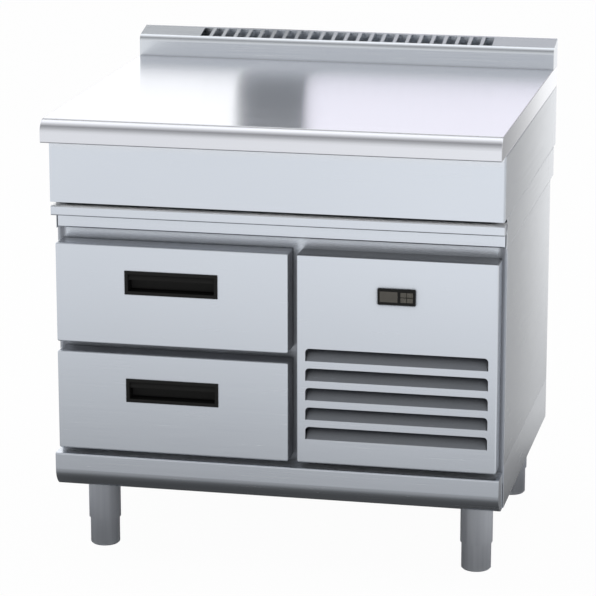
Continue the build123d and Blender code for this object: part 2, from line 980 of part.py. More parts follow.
controller_hole_half = controller_body_half + gap
controller_hole_rise = controller_body_rise + gap
with BuildPart() as service_panel:
    add(front_pan(panel_x, (front_bottom, front_top), face_setback - gap))
    for low in louvre_bottoms:
        extrude(
            arched(louvre_half, low, low + louvre_height),
            amount=front_y - apron_y - gauge - gap,
            mode=Mode.SUBTRACT,
        )
        add(tongue.part.moved(Location((0, 0, low - louvre_bottoms[0]))))
    block(
        (controller_centre[0] - controller_hole_half, controller_centre[0] + controller_hole_half),
        (apron_y - overrun, apron_y + overrun),
        (controller_centre[1] - controller_hole_rise, controller_centre[1] + controller_hole_rise),
        mode=Mode.SUBTRACT,
    )
keep(service_panel, "service_panel")

# Controller: a body behind the panel and a bezel in front, with pockets for window and keys
bezel_y = apron_y - bezel_proud
window_centre_x = controller_centre[0] - window_offset
key_places = {
    "1": (-1, 1),
    "2": (1, 1),
    "3": (-1, -1),
    "4": (1, -1),
}
key_centres = {
    name: (
        controller_centre[0] + key_offset + side * key_pitch_x / 2,
        controller_centre[1] + level * key_pitch_z / 2,
    )
    for name, (side, level) in key_places.items()
}
key_y = (bezel_y - key_proud, bezel_y - key_proud + key_depth)
with BuildPart() as controller:
    with BuildSketch(along(apron_y)):
        with Locations(controller_centre):
            RectangleRounded(controller_width, controller_height, controller_wall)
    extrude(amount=bezel_proud)
    with BuildSketch(along(apron_y + controller_body_depth)):
        with Locations(controller_centre):
            Rectangle(2 * controller_body_half, 2 * controller_body_rise)
    extrude(amount=controller_body_depth)
    with BuildSketch(along(bezel_y + window_gauge)):
        with Locations((window_centre_x, controller_centre[1])):
            Rectangle(window_width + 2 * gap, window_height + 2 * gap)
    extrude(amount=window_gauge + overrun, mode=Mode.SUBTRACT)
    with BuildSketch(along(key_y[1] + key_travel_room)):
        with Locations(list(key_centres.values())):
            Rectangle(key_width + 2 * key_fit, key_height + 2 * key_fit)
    extrude(amount=key_depth + key_travel_room + overrun, mode=Mode.SUBTRACT)
keep(controller, "controller")

with BuildPart() as display_window:
    with BuildSketch(along(bezel_y + window_gauge)):
        with Locations((window_centre_x, controller_centre[1])):
            Rectangle(window_width, window_height)
    extrude(amount=window_gauge)
keep(display_window, "display_window")

for name, centre in key_centres.items():
    with BuildPart() as key:
        with BuildSketch(along(key_y[1])):
            with Locations(centre):
                RectangleRounded(key_width, key_height, controller_wall)
        extrude(amount=key_depth)
    keep(key, f"controller_key_{name}")

# Unit tray on the base floor
tray_x = (machine_left + tray_margin, frame_half - tray_margin)
tray_y = (face_y + frame_depth + tray_front_clear, body_back - gauge - tray_front_clear)
tray_floor = base_floor + gap + gauge
with BuildPart() as unit_tray:
    block(tray_x, tray_y, (base_floor + gap, base_floor + gap + tray_height))
    offset(amount=-gauge, openings=unit_tray.faces().sort_by(Axis.Z)[-1])
keep(unit_tray, "unit_tray")

# Condenser: finned block between end plates, with flattened return bends on both sides
fan_centre = (panel_centre_x, tray_floor + gap + condenser_height / 2)
condenser_x = (machine_x[0] + condenser_side_clear, machine_x[1] - condenser_side_clear)
condenser_y = (face_y + condenser_front_clear, face_y + condenser_front_clear + condenser_depth)
condenser_z = (tray_floor + gap, tray_floor + gap + condenser_height)
fin_x = (condenser_x[0] + condenser_fin_inset, condenser_x[1] - condenser_fin_inset)
bend_step = condenser_height / condenser_bends
with BuildPart() as condenser:
    block(fin_x, condenser_y, condenser_z)
    for plate_x in (fin_x[0] - condenser_plate_thickness, fin_x[1]):
        block((plate_x, plate_x + condenser_plate_thickness), condenser_y, condenser_z)
    bend_places = [
        (bend_x, condenser_z[0] + bend_step * (row + 1 / 2))
        for bend_x in (fin_x[0] - condenser_plate_thickness, fin_x[1] + condenser_plate_thickness)
        for row in range(condenser_bends)
    ]
    with BuildSketch(along(sum(condenser_y) / 2 + condenser_tube_radius)):
        with Locations(bend_places):
            Circle(condenser_bend_radius + condenser_tube_radius)
            Circle(condenser_bend_radius - condenser_tube_radius, mode=Mode.SUBTRACT)
    extrude(amount=2 * condenser_tube_radius)
keep(condenser, "condenser")

# Fan shroud: a plate with a ring, and the motor on a bracket behind the fan
shroud_y = (condenser_y[1] + gap, condenser_y[1] + gap + shroud_gauge)
fan_radius = min(fin_x[1] - fin_x[0], condenser_height) / 2 - fan_rim_margin
ring_radius = fan_radius + fan_tip_gap
fan_y = shroud_y[1] + fan_clear
motor_y = fan_y + fan_hub_depth + motor_gap
with BuildPart() as fan_shroud:
    block(fin_x, shroud_y, condenser_z)
    with BuildSketch(along(shroud_y[1] + shroud_ring_depth)):
        with Locations(fan_centre):
            Circle(ring_radius + shroud_gauge)
    extrude(amount=shroud_ring_depth)
    with BuildSketch(along(shroud_y[1] + shroud_ring_depth + overrun)):
        with Locations(fan_centre):
            Circle(ring_radius)
    extrude(amount=shroud_ring_depth + shroud_gauge + 2 * overrun, mode=Mode.SUBTRACT)
    with BuildSketch(along(motor_y + motor_depth)):
        with Locations(fan_centre):
            Circle(motor_radius)
    extrude(amount=motor_depth)
    with BuildSketch(along(motor_y)):
        with Locations(fan_centre):
            Circle(fan_shaft_radius)
    extrude(amount=motor_gap + fan_hub_depth / 2)
    for side in (-1, 1):
        arm_x = fan_centre[0] + side * (ring_radius + shroud_bracket_width / 2)
        arm_span = (arm_x - shroud_bracket_width / 2, arm_x + shroud_bracket_width / 2)
        arm_z = (fan_centre[1] - shroud_bracket_width, fan_centre[1] + shroud_bracket_width)
        reach = sorted((fan_centre[0] + side * motor_radius / 2, arm_x + side * shroud_bracket_width / 2))
        block(arm_span, (shroud_y[0], motor_y + motor_depth / 2), arm_z)
        block(reach, (motor_y + motor_depth / 2 - shroud_gauge, motor_y + motor_depth / 2), arm_z)
keep(fan_shroud, "fan_shroud")


def fan_blade(centre_x, centre_z, y, turn, root, tip, chords, pitches, thickness):
    """A twisted blade between its root and tip radii, added to the part being built."""
    radial = Vector(math.cos(turn), 0, math.sin(turn))
    with BuildPart() as blade:
        for radius, chord, pitch in zip((root, tip), chords, pitches):
            place = Vector(centre_x, y, centre_z) + radial * radius
            with BuildSketch(Plane(origin=place, x_dir=(0, 1, 0), z_dir=radial)):
                Rectangle(chord, thickness, rotation=90 - pitch)
        loft(ruled=True)
    add(blade.part)


# Condenser fan, which turns on the motor shaft
with BuildPart() as condenser_fan:
    with BuildSketch(along(fan_y + fan_hub_depth)):
        with Locations(fan_centre):
            Circle(fan_hub_radius)
    extrude(amount=fan_hub_depth)
    for turn in range(fan_blades):
        fan_blade(
            fan_centre[0],
            fan_centre[1],
            fan_y + fan_hub_depth / 2,
            2 * math.pi * turn / fan_blades,
            fan_hub_radius - fan_blade_gauge,
            fan_radius,
            (fan_root_chord, fan_tip_chord),
            (fan_root_angle, fan_tip_angle),
            fan_blade_gauge,
        )
    with BuildSketch(along(fan_y + fan_hub_depth + overrun)):
        with Locations(fan_centre):
            Circle(fan_shaft_radius + fan_shaft_fit)
    extrude(amount=fan_hub_depth / 2 + overrun + gap, mode=Mode.SUBTRACT)
keep(condenser_fan, "condenser_fan")

# Compressor: a hermetic shell with a welded seam, on a foot plate and rubber mounts
compressor_x = tray_x[1] - compressor_side_clear - compressor_foot_width / 2
compressor_y = body_back - compressor_back_clear
shell_bottom = tray_floor + compressor_foot_height + compressor_foot_gauge
shell_top = shell_bottom + compressor_height
seam_z = shell_bottom + compressor_height / 2
mount_reach = (compressor_foot_width / 2 - mount_radius, compressor_foot_depth / 2 - mount_radius)
mount_places = [
    (compressor_x + side * mount_reach[0], compressor_y + end * mount_reach[1])
    for side in (-1, 1)
    for end in (-1, 1)
]
with BuildPart() as compressor:
    with BuildSketch(Plane.XZ.offset(-compressor_y)):
        with BuildLine():
            FilletPolyline(
                (compressor_x, shell_bottom),
                (compressor_x + compressor_radius, shell_bottom),
                (compressor_x + compressor_radius, shell_top),
                (compressor_x, shell_top),
                radius=compressor_dome_radius,
            )
            Line((compressor_x, shell_top), (compressor_x, shell_bottom))
        make_face()
    revolve(axis=Axis((compressor_x, compressor_y, 0), (0, 0, 1)))
    with BuildSketch(Plane.XY.offset(seam_z)):
        with Locations((compressor_x, compressor_y)):
            Circle(compressor_radius + compressor_seam_width)
    extrude(amount=compressor_seam_width)
    with BuildSketch(Plane.XY.offset(tray_floor + compressor_foot_height)):
        with Locations((compressor_x, compressor_y)):
            RectangleRounded(compressor_foot_width, compressor_foot_depth, mount_radius)
    extrude(amount=compressor_foot_gauge)
    with BuildSketch(Plane.XY.offset(tray_floor)):
        with Locations(mount_places):
            Circle(mount_radius)
    extrude(amount=compressor_foot_height)
    block(
        (compressor_x - compressor_radius - terminal_size / 2, compressor_x - compressor_radius / 2),
        (compressor_y - terminal_size / 2, compressor_y + terminal_size / 2),
        (seam_z + 2 * compressor_seam_width, seam_z + 2 * compressor_seam_width + terminal_size),
    )
keep(compressor, "compressor")

# Refrigerant lines: discharge to the condenser and suction from the partition
line_top = condenser_z[1] + 2 * line_bend_radius
discharge_x = fin_x[1] - condenser_fin_inset
discharge_y = compressor_y - compressor_radius / 2
suction_y = compressor_y
discharge_path = [
    (compressor_x, discharge_y, shell_top),
    (compressor_x, discharge_y, line_top),
    (discharge_x, discharge_y, line_top),
    (discharge_x, sum(condenser_y) / 2, line_top),
    (discharge_x, sum(condenser_y) / 2, condenser_z[1]),
]
suction_path = [
    (compressor_x, suction_y, shell_top),
    (compressor_x, suction_y, line_top),
    (machine_left, suction_y, line_top),
]
with BuildPart() as refrigerant_lines:
    for path_points in (discharge_path, suction_path):
        with BuildLine() as path:
            FilletPolyline(*path_points, radius=line_bend_radius)
        with BuildSketch(Plane(origin=path.line @ 0, z_dir=path.line % 0)):
            Circle(line_radius)
        sweep(path=path.line)
keep(refrigerant_lines, "refrigerant_lines")

# Electrical box on the partition, with the gland that the mains lead goes through
with BuildPart() as electrical_box:
    block(electrical_x, electrical_y, electrical_z)
    fillet(electrical_box.edges().filter_by(Axis.Y), fold)
    with BuildSketch(along(electrical_y[1] + gland_length)):
        with Locations(gland_centre):
            Circle(gland_radius)
    extrude(amount=gland_length)
    with BuildSketch(along(body_back + gap + gland_nut_thickness)):
        with Locations(gland_centre):
            RegularPolygon(gland_nut_radius, 6)
    extrude(amount=gland_nut_thickness)
keep(electrical_box, "electrical_box")

# Tray that collects and evaporates the condensate
condensate_x = (tray_x[0] + 2 * gauge, compressor_x - compressor_foot_width / 2 - condensate_side_clear)
condensate_y = (tray_y[1] - 2 * gauge - condensate_depth, tray_y[1] - 2 * gauge)
with BuildPart() as condensate_tray:
    block(condensate_x, condensate_y, (tray_floor, tray_floor + condensate_height))
    fillet(condensate_tray.edges().filter_by(Axis.Z), condensate_corner_radius)
    offset(amount=-pull_wall, openings=condensate_tray.faces().sort_by(Axis.Z)[-1])
keep(condensate_tray, "condensate_tray")

# Evaporator: a finned coil on the back wall of the liner with its fan in front
coil_z = (liner_z[0] + evaporator_lift, liner_z[1] - evaporator_top_clear)
coil_x = (opening_x[0] + evaporator_side_clear, opening_x[1] - evaporator_side_clear)
evaporator_centre = (drawer_centre_x, sum(coil_z) / 2)
with BuildPart() as evaporator:
    block(coil_x, coil_y, coil_z)
    with BuildSketch(along(coil_y[0])):
        with Locations(evaporator_centre):
            Circle(evaporator_motor_radius)
    extrude(amount=fold)
    with BuildSketch(along(coil_y[0] - fold)):
        with Locations(evaporator_centre):
            Circle(fan_shaft_radius)
    extrude(amount=evaporator_fan_depth / 2)
keep(evaporator, "evaporator")

evaporator_fan_y = coil_y[0] - fold - gap
with BuildPart() as evaporator_fan:
    with BuildSketch(along(evaporator_fan_y)):
        with Locations(evaporator_centre):
            Circle(evaporator_hub_radius)
    extrude(amount=evaporator_fan_depth)
    for turn in range(evaporator_fan_blades):
        fan_blade(
            evaporator_centre[0],
            evaporator_centre[1],
            evaporator_fan_y - evaporator_fan_depth / 2,
            2 * math.pi * turn / evaporator_fan_blades,
            evaporator_hub_radius - fan_blade_gauge,
            evaporator_fan_radius,
            (evaporator_fan_chord / 2, evaporator_fan_chord),
            (fan_tip_angle / 2, fan_tip_angle / 2),
            fan_blade_gauge / 2,
        )
    with BuildSketch(along(evaporator_fan_y + overrun)):
        with Locations(evaporator_centre):
            Circle(fan_shaft_radius + fan_shaft_fit)
    extrude(amount=overrun + evaporator_fan_depth / 2 + gap, mode=Mode.SUBTRACT)
keep(evaporator_fan, "evaporator_fan")
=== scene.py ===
"""Finish of a refrigerated base: metals and plastics, pieces of fine detail, and the studio round it."""

import math

import bmesh
import bpy
from bpy.props import FloatProperty, FloatVectorProperty, IntProperty, PointerProperty
from mathutils import Matrix, Vector


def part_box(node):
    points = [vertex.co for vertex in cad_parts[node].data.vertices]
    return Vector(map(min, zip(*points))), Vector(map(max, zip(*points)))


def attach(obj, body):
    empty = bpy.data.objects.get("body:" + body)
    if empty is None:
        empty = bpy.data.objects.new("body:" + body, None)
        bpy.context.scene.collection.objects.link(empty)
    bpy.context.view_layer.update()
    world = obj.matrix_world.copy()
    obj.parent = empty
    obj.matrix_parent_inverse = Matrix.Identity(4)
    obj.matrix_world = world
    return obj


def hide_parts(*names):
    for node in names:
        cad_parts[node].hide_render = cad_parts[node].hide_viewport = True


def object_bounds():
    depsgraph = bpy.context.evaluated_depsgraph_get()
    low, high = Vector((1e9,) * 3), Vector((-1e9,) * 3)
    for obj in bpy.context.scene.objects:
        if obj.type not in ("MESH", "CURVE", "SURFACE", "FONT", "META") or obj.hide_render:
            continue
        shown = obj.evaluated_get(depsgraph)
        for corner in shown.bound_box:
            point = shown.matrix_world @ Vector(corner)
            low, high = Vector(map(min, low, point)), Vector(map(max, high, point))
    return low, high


bl_info = {
    "name": "Refrigerated base finish",
    "version": (1, 0, 0),
    "blender": (4, 5, 0),
    "location": "View3D > Sidebar > Cold base",
    "description": "Finishes a refrigerated base with drawers, a louvred machine panel and a bench top",
    "category": "Object",
}

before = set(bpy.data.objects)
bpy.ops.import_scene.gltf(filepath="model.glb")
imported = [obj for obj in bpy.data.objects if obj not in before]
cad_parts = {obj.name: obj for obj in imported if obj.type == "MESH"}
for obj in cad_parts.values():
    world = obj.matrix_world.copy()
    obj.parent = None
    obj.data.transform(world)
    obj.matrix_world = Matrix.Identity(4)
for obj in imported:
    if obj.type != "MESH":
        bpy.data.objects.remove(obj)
CAD_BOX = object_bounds()
MM = 0.001
LEVELS = ("lower", "upper")

# Edges sharper than this are rounded, and faces that meet at less than the second angle shade as one
SHARP_EDGE = math.radians(40)
SMOOTH_UNDER = math.radians(35)

# A face looks along an axis where its normal has at least this part along it
SQUARE_ON = 0.9


# Colours, nodes and modelling


def srgb_to_linear(hex_colour):
    """Linear red, green, blue and alpha of an sRGB hex value such as "D0D4DC"."""
    channels = [int(hex_colour[start:start + 2], 16) / 255 for start in (0, 2, 4)]
    return tuple(c / 12.92 if c <= 0.04045 else ((c + 0.055) / 1.055) ** 2.4 for c in channels) + (1.0,)


def add_node(tree, kind, settings=None, inputs=None, links=None):
    """Add a node. settings are its properties, inputs its values, links the outputs that feed its inputs."""
    node = tree.nodes.new(kind)
    for name, value in (settings or {}).items():
        setattr(node, name, value)
    for name, value in (inputs or {}).items():
        node.inputs[name].default_value = value
    for name, output in (links or {}).items():
        tree.links.new(output, node.inputs[name])
    return node


def new_material(name):
    """An empty node material, its tree and its output node."""
    material = bpy.data.materials.new(name)
    material.use_nodes = True
    tree = material.node_tree
    tree.nodes.clear()
    return material, tree, add_node(tree, "ShaderNodeOutputMaterial")


def nothing_selected():
    """Leave edit mode and deselect everything, so that the next operator acts on its own piece only."""
    if bpy.context.mode != "OBJECT":
        bpy.ops.object.mode_set(mode="OBJECT")
    bpy.ops.object.select_all(action="DESELECT")


def looks_to_front(face):
    """Whether a face looks to the front."""
    return face.normal.y < -SQUARE_ON


def looks_to_back(face):
    """Whether a face looks to the back."""
    return face.normal.y > SQUARE_ON


def looks_up(face):
    """Whether a face looks up."""
    return face.normal.z > SQUARE_ON


def pick(piece, test):
    """Select the faces of a piece that pass the test, in edit mode."""
    bpy.ops.object.mode_set(mode="EDIT")
    bpy.ops.mesh.select_mode(type="FACE")
    bpy.ops.mesh.select_all(action="DESELECT")
    mesh = bmesh.from_edit_mesh(piece.data)
    chosen = [face for face in mesh.faces if test(face)]
    if not chosen:
        raise RuntimeError(f"{piece.name} has no face to shape there")
    for face in chosen:
        face.select_set(True)
    bmesh.update_edit_mesh(piece.data)


def add_block(name, low, high):
    """A block between two corners, in metres, as a start for a piece."""
    nothing_selected()
    centre = [(a + b) / 2 for a, b in zip(low, high)]
    bpy.ops.mesh.primitive_cube_add(size=1, location=centre)
    piece = bpy.context.active_object
    piece.name = name
    piece.scale = [b - a for a, b in zip(low, high)]
    bpy.ops.object.transform_apply(location=True, rotation=True, scale=True)
    return piece


def press_in(piece, test, inset, move):
    """Inset the picked faces and push them along a vector, in metres."""
    pick(piece, test)
    bpy.ops.mesh.inset(thickness=inset, depth=0)
    bpy.ops.mesh.extrude_region_move(TRANSFORM_OT_translate={"value": move})
    bpy.ops.object.mode_set(mode="OBJECT")


def round_edges(piece, width, segments=3):
    """Bevel every sharp edge and shade the result smooth."""
    bevel = piece.modifiers.new("rounded edges", "BEVEL")
    bevel.width = width
    bevel.segments = segments
    bevel.limit_method = "ANGLE"
    bevel.angle_limit = SHARP_EDGE
    bevel.harden_normals = False
    bpy.context.view_layer.objects.active = piece
    piece.select_set(True)
    bpy.ops.object.modifier_apply(modifier=bevel.name)
    bpy.ops.object.shade_smooth_by_angle(angle=SMOOTH_UNDER)


def join(pieces, name):
    """Join pieces into the first one."""
    nothing_selected()
    for piece in pieces:
        piece.select_set(True)
    bpy.context.view_layer.objects.active = pieces[0]
    bpy.ops.object.join()
    joined = bpy.context.active_object
    joined.name = name
    bpy.ops.object.transform_apply(location=True, rotation=True, scale=True)
    return joined


def copy_piece(piece, name, move):
    """A copy with its own mesh, moved by a vector in metres."""
    nothing_selected()
    piece.select_set(True)
    bpy.context.view_layer.objects.active = piece
    bpy.ops.object.duplicate(linked=False)
    copy = bpy.context.active_object
    copy.name = name
    bpy.ops.transform.translate(value=move)
    bpy.ops.object.transform_apply(location=True, rotation=True, scale=True)
    return copy


def hand_over(piece, body, material):
    """Give a finished piece its material and the body that it rides on."""
    piece.data.materials.clear()
    piece.data.materials.append(material)
    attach(piece, body)


# Materials, each named for what the surface is and how it was made

# Direction of the brushing, a little off each axis, so that it is never square to a face
BRUSH_AXES = {"X": (1, -0.2, 0), "Y": (-0.2, 1, 0), "Z": (0.1, 0.1, 1)}

# Noise of the brushing, its soft clouds, and the clouds' share in the colour
GRAIN_NOISE = {"Scale": 1.0, "Detail": 4.0, "Roughness": 0.6}
CLOUD_NOISE = {"Scale": 3.2, "Detail": 2.0}
CLOUD_SHARE = 0.35
# How many times longer than wide a streak is, and its depth for each unit of its width
STREAK_LENGTH = 60
STREAK_DEPTH = 0.02
# The part of the noise that the polish follows, and how far the polish goes to either side of its mean
GRAIN_RANGE = (0.3, 0.7)
POLISH_SPREAD = 0.1

# Upward part of the normal from which painted shade starts on faces that look up, and from which it is full
SHADE_UP_FROM, SHADE_UP_FULLY = 0.15, 0.5
# How metallic a place fully under the painted shelter colour still is
MASKED_METAL = 0.15
SKY_SAMPLES = 6

# Painted shade and light from an ambient-occlusion mask on each sheet: how near a neighbour shelters it, in
# mm, the shares of open sky below which the mask's colour covers fully and above which the sheet is bare, and
# that colour.
# The dark colours paint shade in folds, gaps and recesses; the pale ones, for the plain sheet and the gap,
# paint light in deep gaps.
SHELTERS = {
    "sheet": (40, 0.12, 0.6, "C4C8CE"),
    "front": (120, 0.3, 0.88, "7C8088"),
    "frame": (120, 0.1, 0.52, "7C8088"),
    "panel": (120, 0.5, 0.97, "35383E"),
    "gap": (25, 0.5, 0.9, "FBFCFD"),
    "duct": (12, 0.12, 0.6, "2E3036"),
    "worktop": (14, 0.12, 0.6, "2E3036"),
}

# Painted shade along a seam: full up to the first distance and gone from the second; the seam keeps the share
# of its shine that comes third. The frame gets wider painted shade beside the service panel.
SEAM_SHADE = (0.4 * MM, 2.4 * MM, 0.45)
PANEL_SEAM_SHADE = (3 * MM, 10 * MM, 0.1)

# Colours of the sheet and its streaks: as made, a darker copy that paints shade on the sides, a paler one
# that paints light on the skirt
SHEET_COLOURS = ("D4DAE4", "E0E6EE")
SIDE_SHADED_COLOURS = ("CFD3D9", "D9DDE3")
SKIRT_LIT_COLOURS = ("E2E6EC", "EAEEF4")


def unpainted_near_seams(tree, place, seams, soiling):
    """How free of painted shade a surface is near its seams, from 0 to 1.

    A seam is its direction and a point on it, and both halves of the object are alike.
    """
    mirrored = add_node(tree, "ShaderNodeVectorMath", {"operation": "ABSOLUTE"}, links={0: place})
    nearest = None
    for along, point in seams:
        across = [0 if axis == along else 1 for axis in "XYZ"]
        offset = add_node(
            tree,
            "ShaderNodeVectorMath",
            {"operation": "SUBTRACT"},
            {1: point},
            {0: mirrored.outputs["Vector"]},
        )
        flat = add_node(
            tree,
            "ShaderNodeVectorMath",
            {"operation": "MULTIPLY"},
            {1: across},
            {0: offset.outputs["Vector"]},
        )
        distance = add_node(
            tree, "ShaderNodeVectorMath", {"operation": "LENGTH"}, links={0: flat.outputs["Vector"]}
        )
        if nearest is None:
            nearest = distance.outputs["Value"]
        else:
            nearer = add_node(
                tree,
                "ShaderNodeMath",
                {"operation": "MINIMUM"},
                links={0: nearest, 1: distance.outputs["Value"]},
            )
            nearest = nearer.outputs[0]
    unpainted = add_node(
        tree,
        "ShaderNodeMapRange",
        inputs=dict(zip(("From Min", "From Max", "To Min"), soiling)),
        links={"Value": nearest},
    )
    return unpainted.outputs["Result"]


def brushed_steel(
    name,
    colour,
    streak_colour,
    roughness,
    grain_mm,
    relief,
    brushed,
    stretch=0.4,
    shelter="sheet",
    seams=(),
    soiling=SEAM_SHADE,
    settled=1.0,
):
    """Stainless sheet brushed along one axis: fine streaks, and reflections that blur across the streaks.

    The grain of the real sheet is finer than a pixel, so it is drawn a few millimetres wide.
    Painted shade from an ambient-occlusion mask and from a mask along its seams turns its folds, gaps and
    seams matt and to the mask's colour; pale colours paint light in deep gaps.
    The last argument is the share of its shine that faces looking up keep; below 1 it paints shade on them.
    """
    material, tree, output = new_material(name)
    place = add_node(tree, "ShaderNodeTexCoord")
    across = 1 / (grain_mm * MM)
    scale = [across / STREAK_LENGTH if axis == brushed else across for axis in "XYZ"]
    stretched = add_node(
        tree, "ShaderNodeMapping", inputs={"Scale": scale}, links={"Vector": place.outputs["Object"]}
    )
    grain = add_node(
        tree, "ShaderNodeTexNoise", inputs=GRAIN_NOISE, links={"Vector": stretched.outputs["Vector"]}
    )
    cloud = add_node(
        tree, "ShaderNodeTexNoise", inputs=CLOUD_NOISE, links={"Vector": place.outputs["Object"]}
    )
    cloud_part = add_node(
        tree, "ShaderNodeMath", {"operation": "MULTIPLY"}, {1: CLOUD_SHARE}, {0: cloud.outputs["Fac"]}
    )
    mixed = add_node(
        tree,
        "ShaderNodeMath",
        {"operation": "MULTIPLY_ADD"},
        {1: 1 - CLOUD_SHARE},
        {0: grain.outputs["Fac"], 2: cloud_part.outputs[0]},
    )
    tint = add_node(
        tree,
        "ShaderNodeMix",
        {"data_type": "RGBA"},
        {6: srgb_to_linear(colour), 7: srgb_to_linear(streak_colour)},
        {"Factor": mixed.outputs[0]},
    )
    reach_mm, sheltered, open_sky, shelter_colour = SHELTERS[shelter]
    # Painted shade and light: ambient occlusion turns sheltered places matt and to the shelter colour
    sky = add_node(
        tree, "ShaderNodeAmbientOcclusion", {"samples": SKY_SAMPLES}, {"Distance": reach_mm * MM}
    )
    open_part = add_node(
        tree,
        "ShaderNodeMapRange",
        inputs={"From Min": sheltered, "From Max": open_sky},
        links={"Value": sky.outputs["AO"]},
    )
    unpainted = open_part.outputs["Result"]
    # Painted shade along the seams
    if seams:
        seam_masked = add_node(
            tree,
            "ShaderNodeMath",
            {"operation": "MULTIPLY"},
            links={0: unpainted, 1: unpainted_near_seams(tree, place.outputs["Object"], seams, soiling)},
        )
        unpainted = seam_masked.outputs[0]
    facing = add_node(tree, "ShaderNodeNewGeometry")
    # Painted shade on faces that look up, such as the louvre tongues
    if settled < 1:
        facing_parts = add_node(tree, "ShaderNodeSeparateXYZ", links={"Vector": facing.outputs["Normal"]})
        upward = add_node(
            tree,
            "ShaderNodeMapRange",
            inputs={
                "From Min": SHADE_UP_FROM,
                "From Max": SHADE_UP_FULLY,
                "To Min": 1.0,
                "To Max": settled,
            },
            links={"Value": facing_parts.outputs["Z"]},
        )
        up_masked = add_node(
            tree, "ShaderNodeMath", {"operation": "MULTIPLY"}, links={0: unpainted, 1: upward.outputs["Result"]}
        )
        unpainted = up_masked.outputs[0]
    painted_tint = add_node(
        tree,
        "ShaderNodeMix",
        {"data_type": "RGBA"},
        {6: srgb_to_linear(shelter_colour)},
        {0: unpainted, 7: tint.outputs[2]},
    )
    metal_left = add_node(
        tree, "ShaderNodeMapRange", inputs={"To Min": MASKED_METAL}, links={"Value": unpainted}
    )
    polish = add_node(
        tree,
        "ShaderNodeMapRange",
        inputs={
            "From Min": GRAIN_RANGE[0],
            "From Max": GRAIN_RANGE[1],
            "To Min": roughness * (1 - POLISH_SPREAD),
            "To Max": roughness * (1 + POLISH_SPREAD),
        },
        links={"Value": grain.outputs["Fac"]},
    )
    bump = add_node(
        tree,
        "ShaderNodeBump",
        inputs={"Strength": relief, "Distance": STREAK_DEPTH * MM * grain_mm},
        links={"Height": grain.outputs["Fac"]},
    )
    across_grain = add_node(
        tree,
        "ShaderNodeVectorMath",
        {"operation": "CROSS_PRODUCT"},
        {1: BRUSH_AXES[brushed]},
        {0: facing.outputs["Normal"]},
    )
    shader = add_node(
        tree,
        "ShaderNodeBsdfPrincipled",
        inputs={"Anisotropic": stretch},
        links={
            "Base Color": painted_tint.outputs[2],
            "Metallic": metal_left.outputs["Result"],
            "Roughness": polish.outputs["Result"],
            "Normal": bump.outputs["Normal"],
            "Tangent": across_grain.outputs["Vector"],
        },
    )
    tree.links.new(shader.outputs[0], output.inputs["Surface"])
    return material


# How far the polish of a speckled surface goes to either side of its mean, and its depth for each unit
# of its grain
SPECKLE_SPREAD = 0.15
SPECKLE_DEPTH = 0.05


def speckled(name, colour, second_colour, metallic, roughness, grain_mm, relief, cells=False, sheen=0.5):
    """A surface with a fine texture that has no direction: plastic, rubber, enamel, foam or zinc spangle."""
    material, tree, output = new_material(name)
    place = add_node(tree, "ShaderNodeTexCoord")
    kind = "ShaderNodeTexVoronoi" if cells else "ShaderNodeTexNoise"
    grain = add_node(
        tree, kind, inputs={"Scale": 1 / (grain_mm * MM)}, links={"Vector": place.outputs["Object"]}
    )
    field = grain.outputs["Color"] if cells else grain.outputs["Fac"]
    tint = add_node(
        tree,
        "ShaderNodeMix",
        {"data_type": "RGBA"},
        {6: srgb_to_linear(colour), 7: srgb_to_linear(second_colour)},
        {"Factor": field},
    )
    polish = add_node(
        tree,
        "ShaderNodeMapRange",
        inputs={
            "To Min": roughness * (1 - SPECKLE_SPREAD),
            "To Max": min(1.0, roughness * (1 + SPECKLE_SPREAD)),
        },
        links={"Value": field},
    )
    bump = add_node(
        tree,
        "ShaderNodeBump",
        inputs={"Strength": relief, "Distance": SPECKLE_DEPTH * MM * grain_mm},
        links={"Height": field},
    )
    shader = add_node(
        tree,
        "ShaderNodeBsdfPrincipled",
        inputs={"Metallic": metallic, "Specular IOR Level": sheen},
        links={
            "Base Color": tint.outputs[2],
            "Roughness": polish.outputs["Result"],
            "Normal": bump.outputs["Normal"],
        },
    )
    tree.links.new(shader.outputs[0], output.inputs["Surface"])
    return material


# Length of one wave of Blender's band texture at a scale of 1
WAVE_LENGTH = 0.314
FIN_RELIEF, FIN_DEPTH, FIN_ROUGHNESS = 0.6, 1 * MM, 0.42


def finned(name, fin_colour, shaded_gap_colour, pitch_mm):
    """Pressed aluminium fins. They stand about 2 mm apart, and are drawn at a pitch that still shows. The
    dark between them is painted shade.
    """
    material, tree, output = new_material(name)
    place = add_node(tree, "ShaderNodeTexCoord")
    fins = add_node(
        tree,
        "ShaderNodeTexWave",
        {"wave_type": "BANDS", "bands_direction": "X", "wave_profile": "SIN"},
        {"Scale": WAVE_LENGTH / (pitch_mm * MM)},
        {"Vector": place.outputs["Object"]},
    )
    tint = add_node(
        tree,
        "ShaderNodeMix",
        {"data_type": "RGBA"},
        {6: srgb_to_linear(shaded_gap_colour), 7: srgb_to_linear(fin_colour)},
        {"Factor": fins.outputs["Fac"]},
    )
    bump = add_node(
        tree,
        "ShaderNodeBump",
        inputs={"Strength": FIN_RELIEF, "Distance": FIN_DEPTH},
        links={"Height": fins.outputs["Fac"]},
    )
    shader = add_node(
        tree,
        "ShaderNodeBsdfPrincipled",
        inputs={"Metallic": 1.0, "Roughness": FIN_ROUGHNESS},
        links={"Base Color": tint.outputs[2], "Normal": bump.outputs["Normal"]},
    )
    tree.links.new(shader.outputs[0], output.inputs["Surface"])
    return material


FINISHES = {}


def make_finish(recipe, name, *values, **options):
    """Make a material with one of the functions above and keep it under its name."""
    FINISHES[name] = recipe(name, *values, **options)


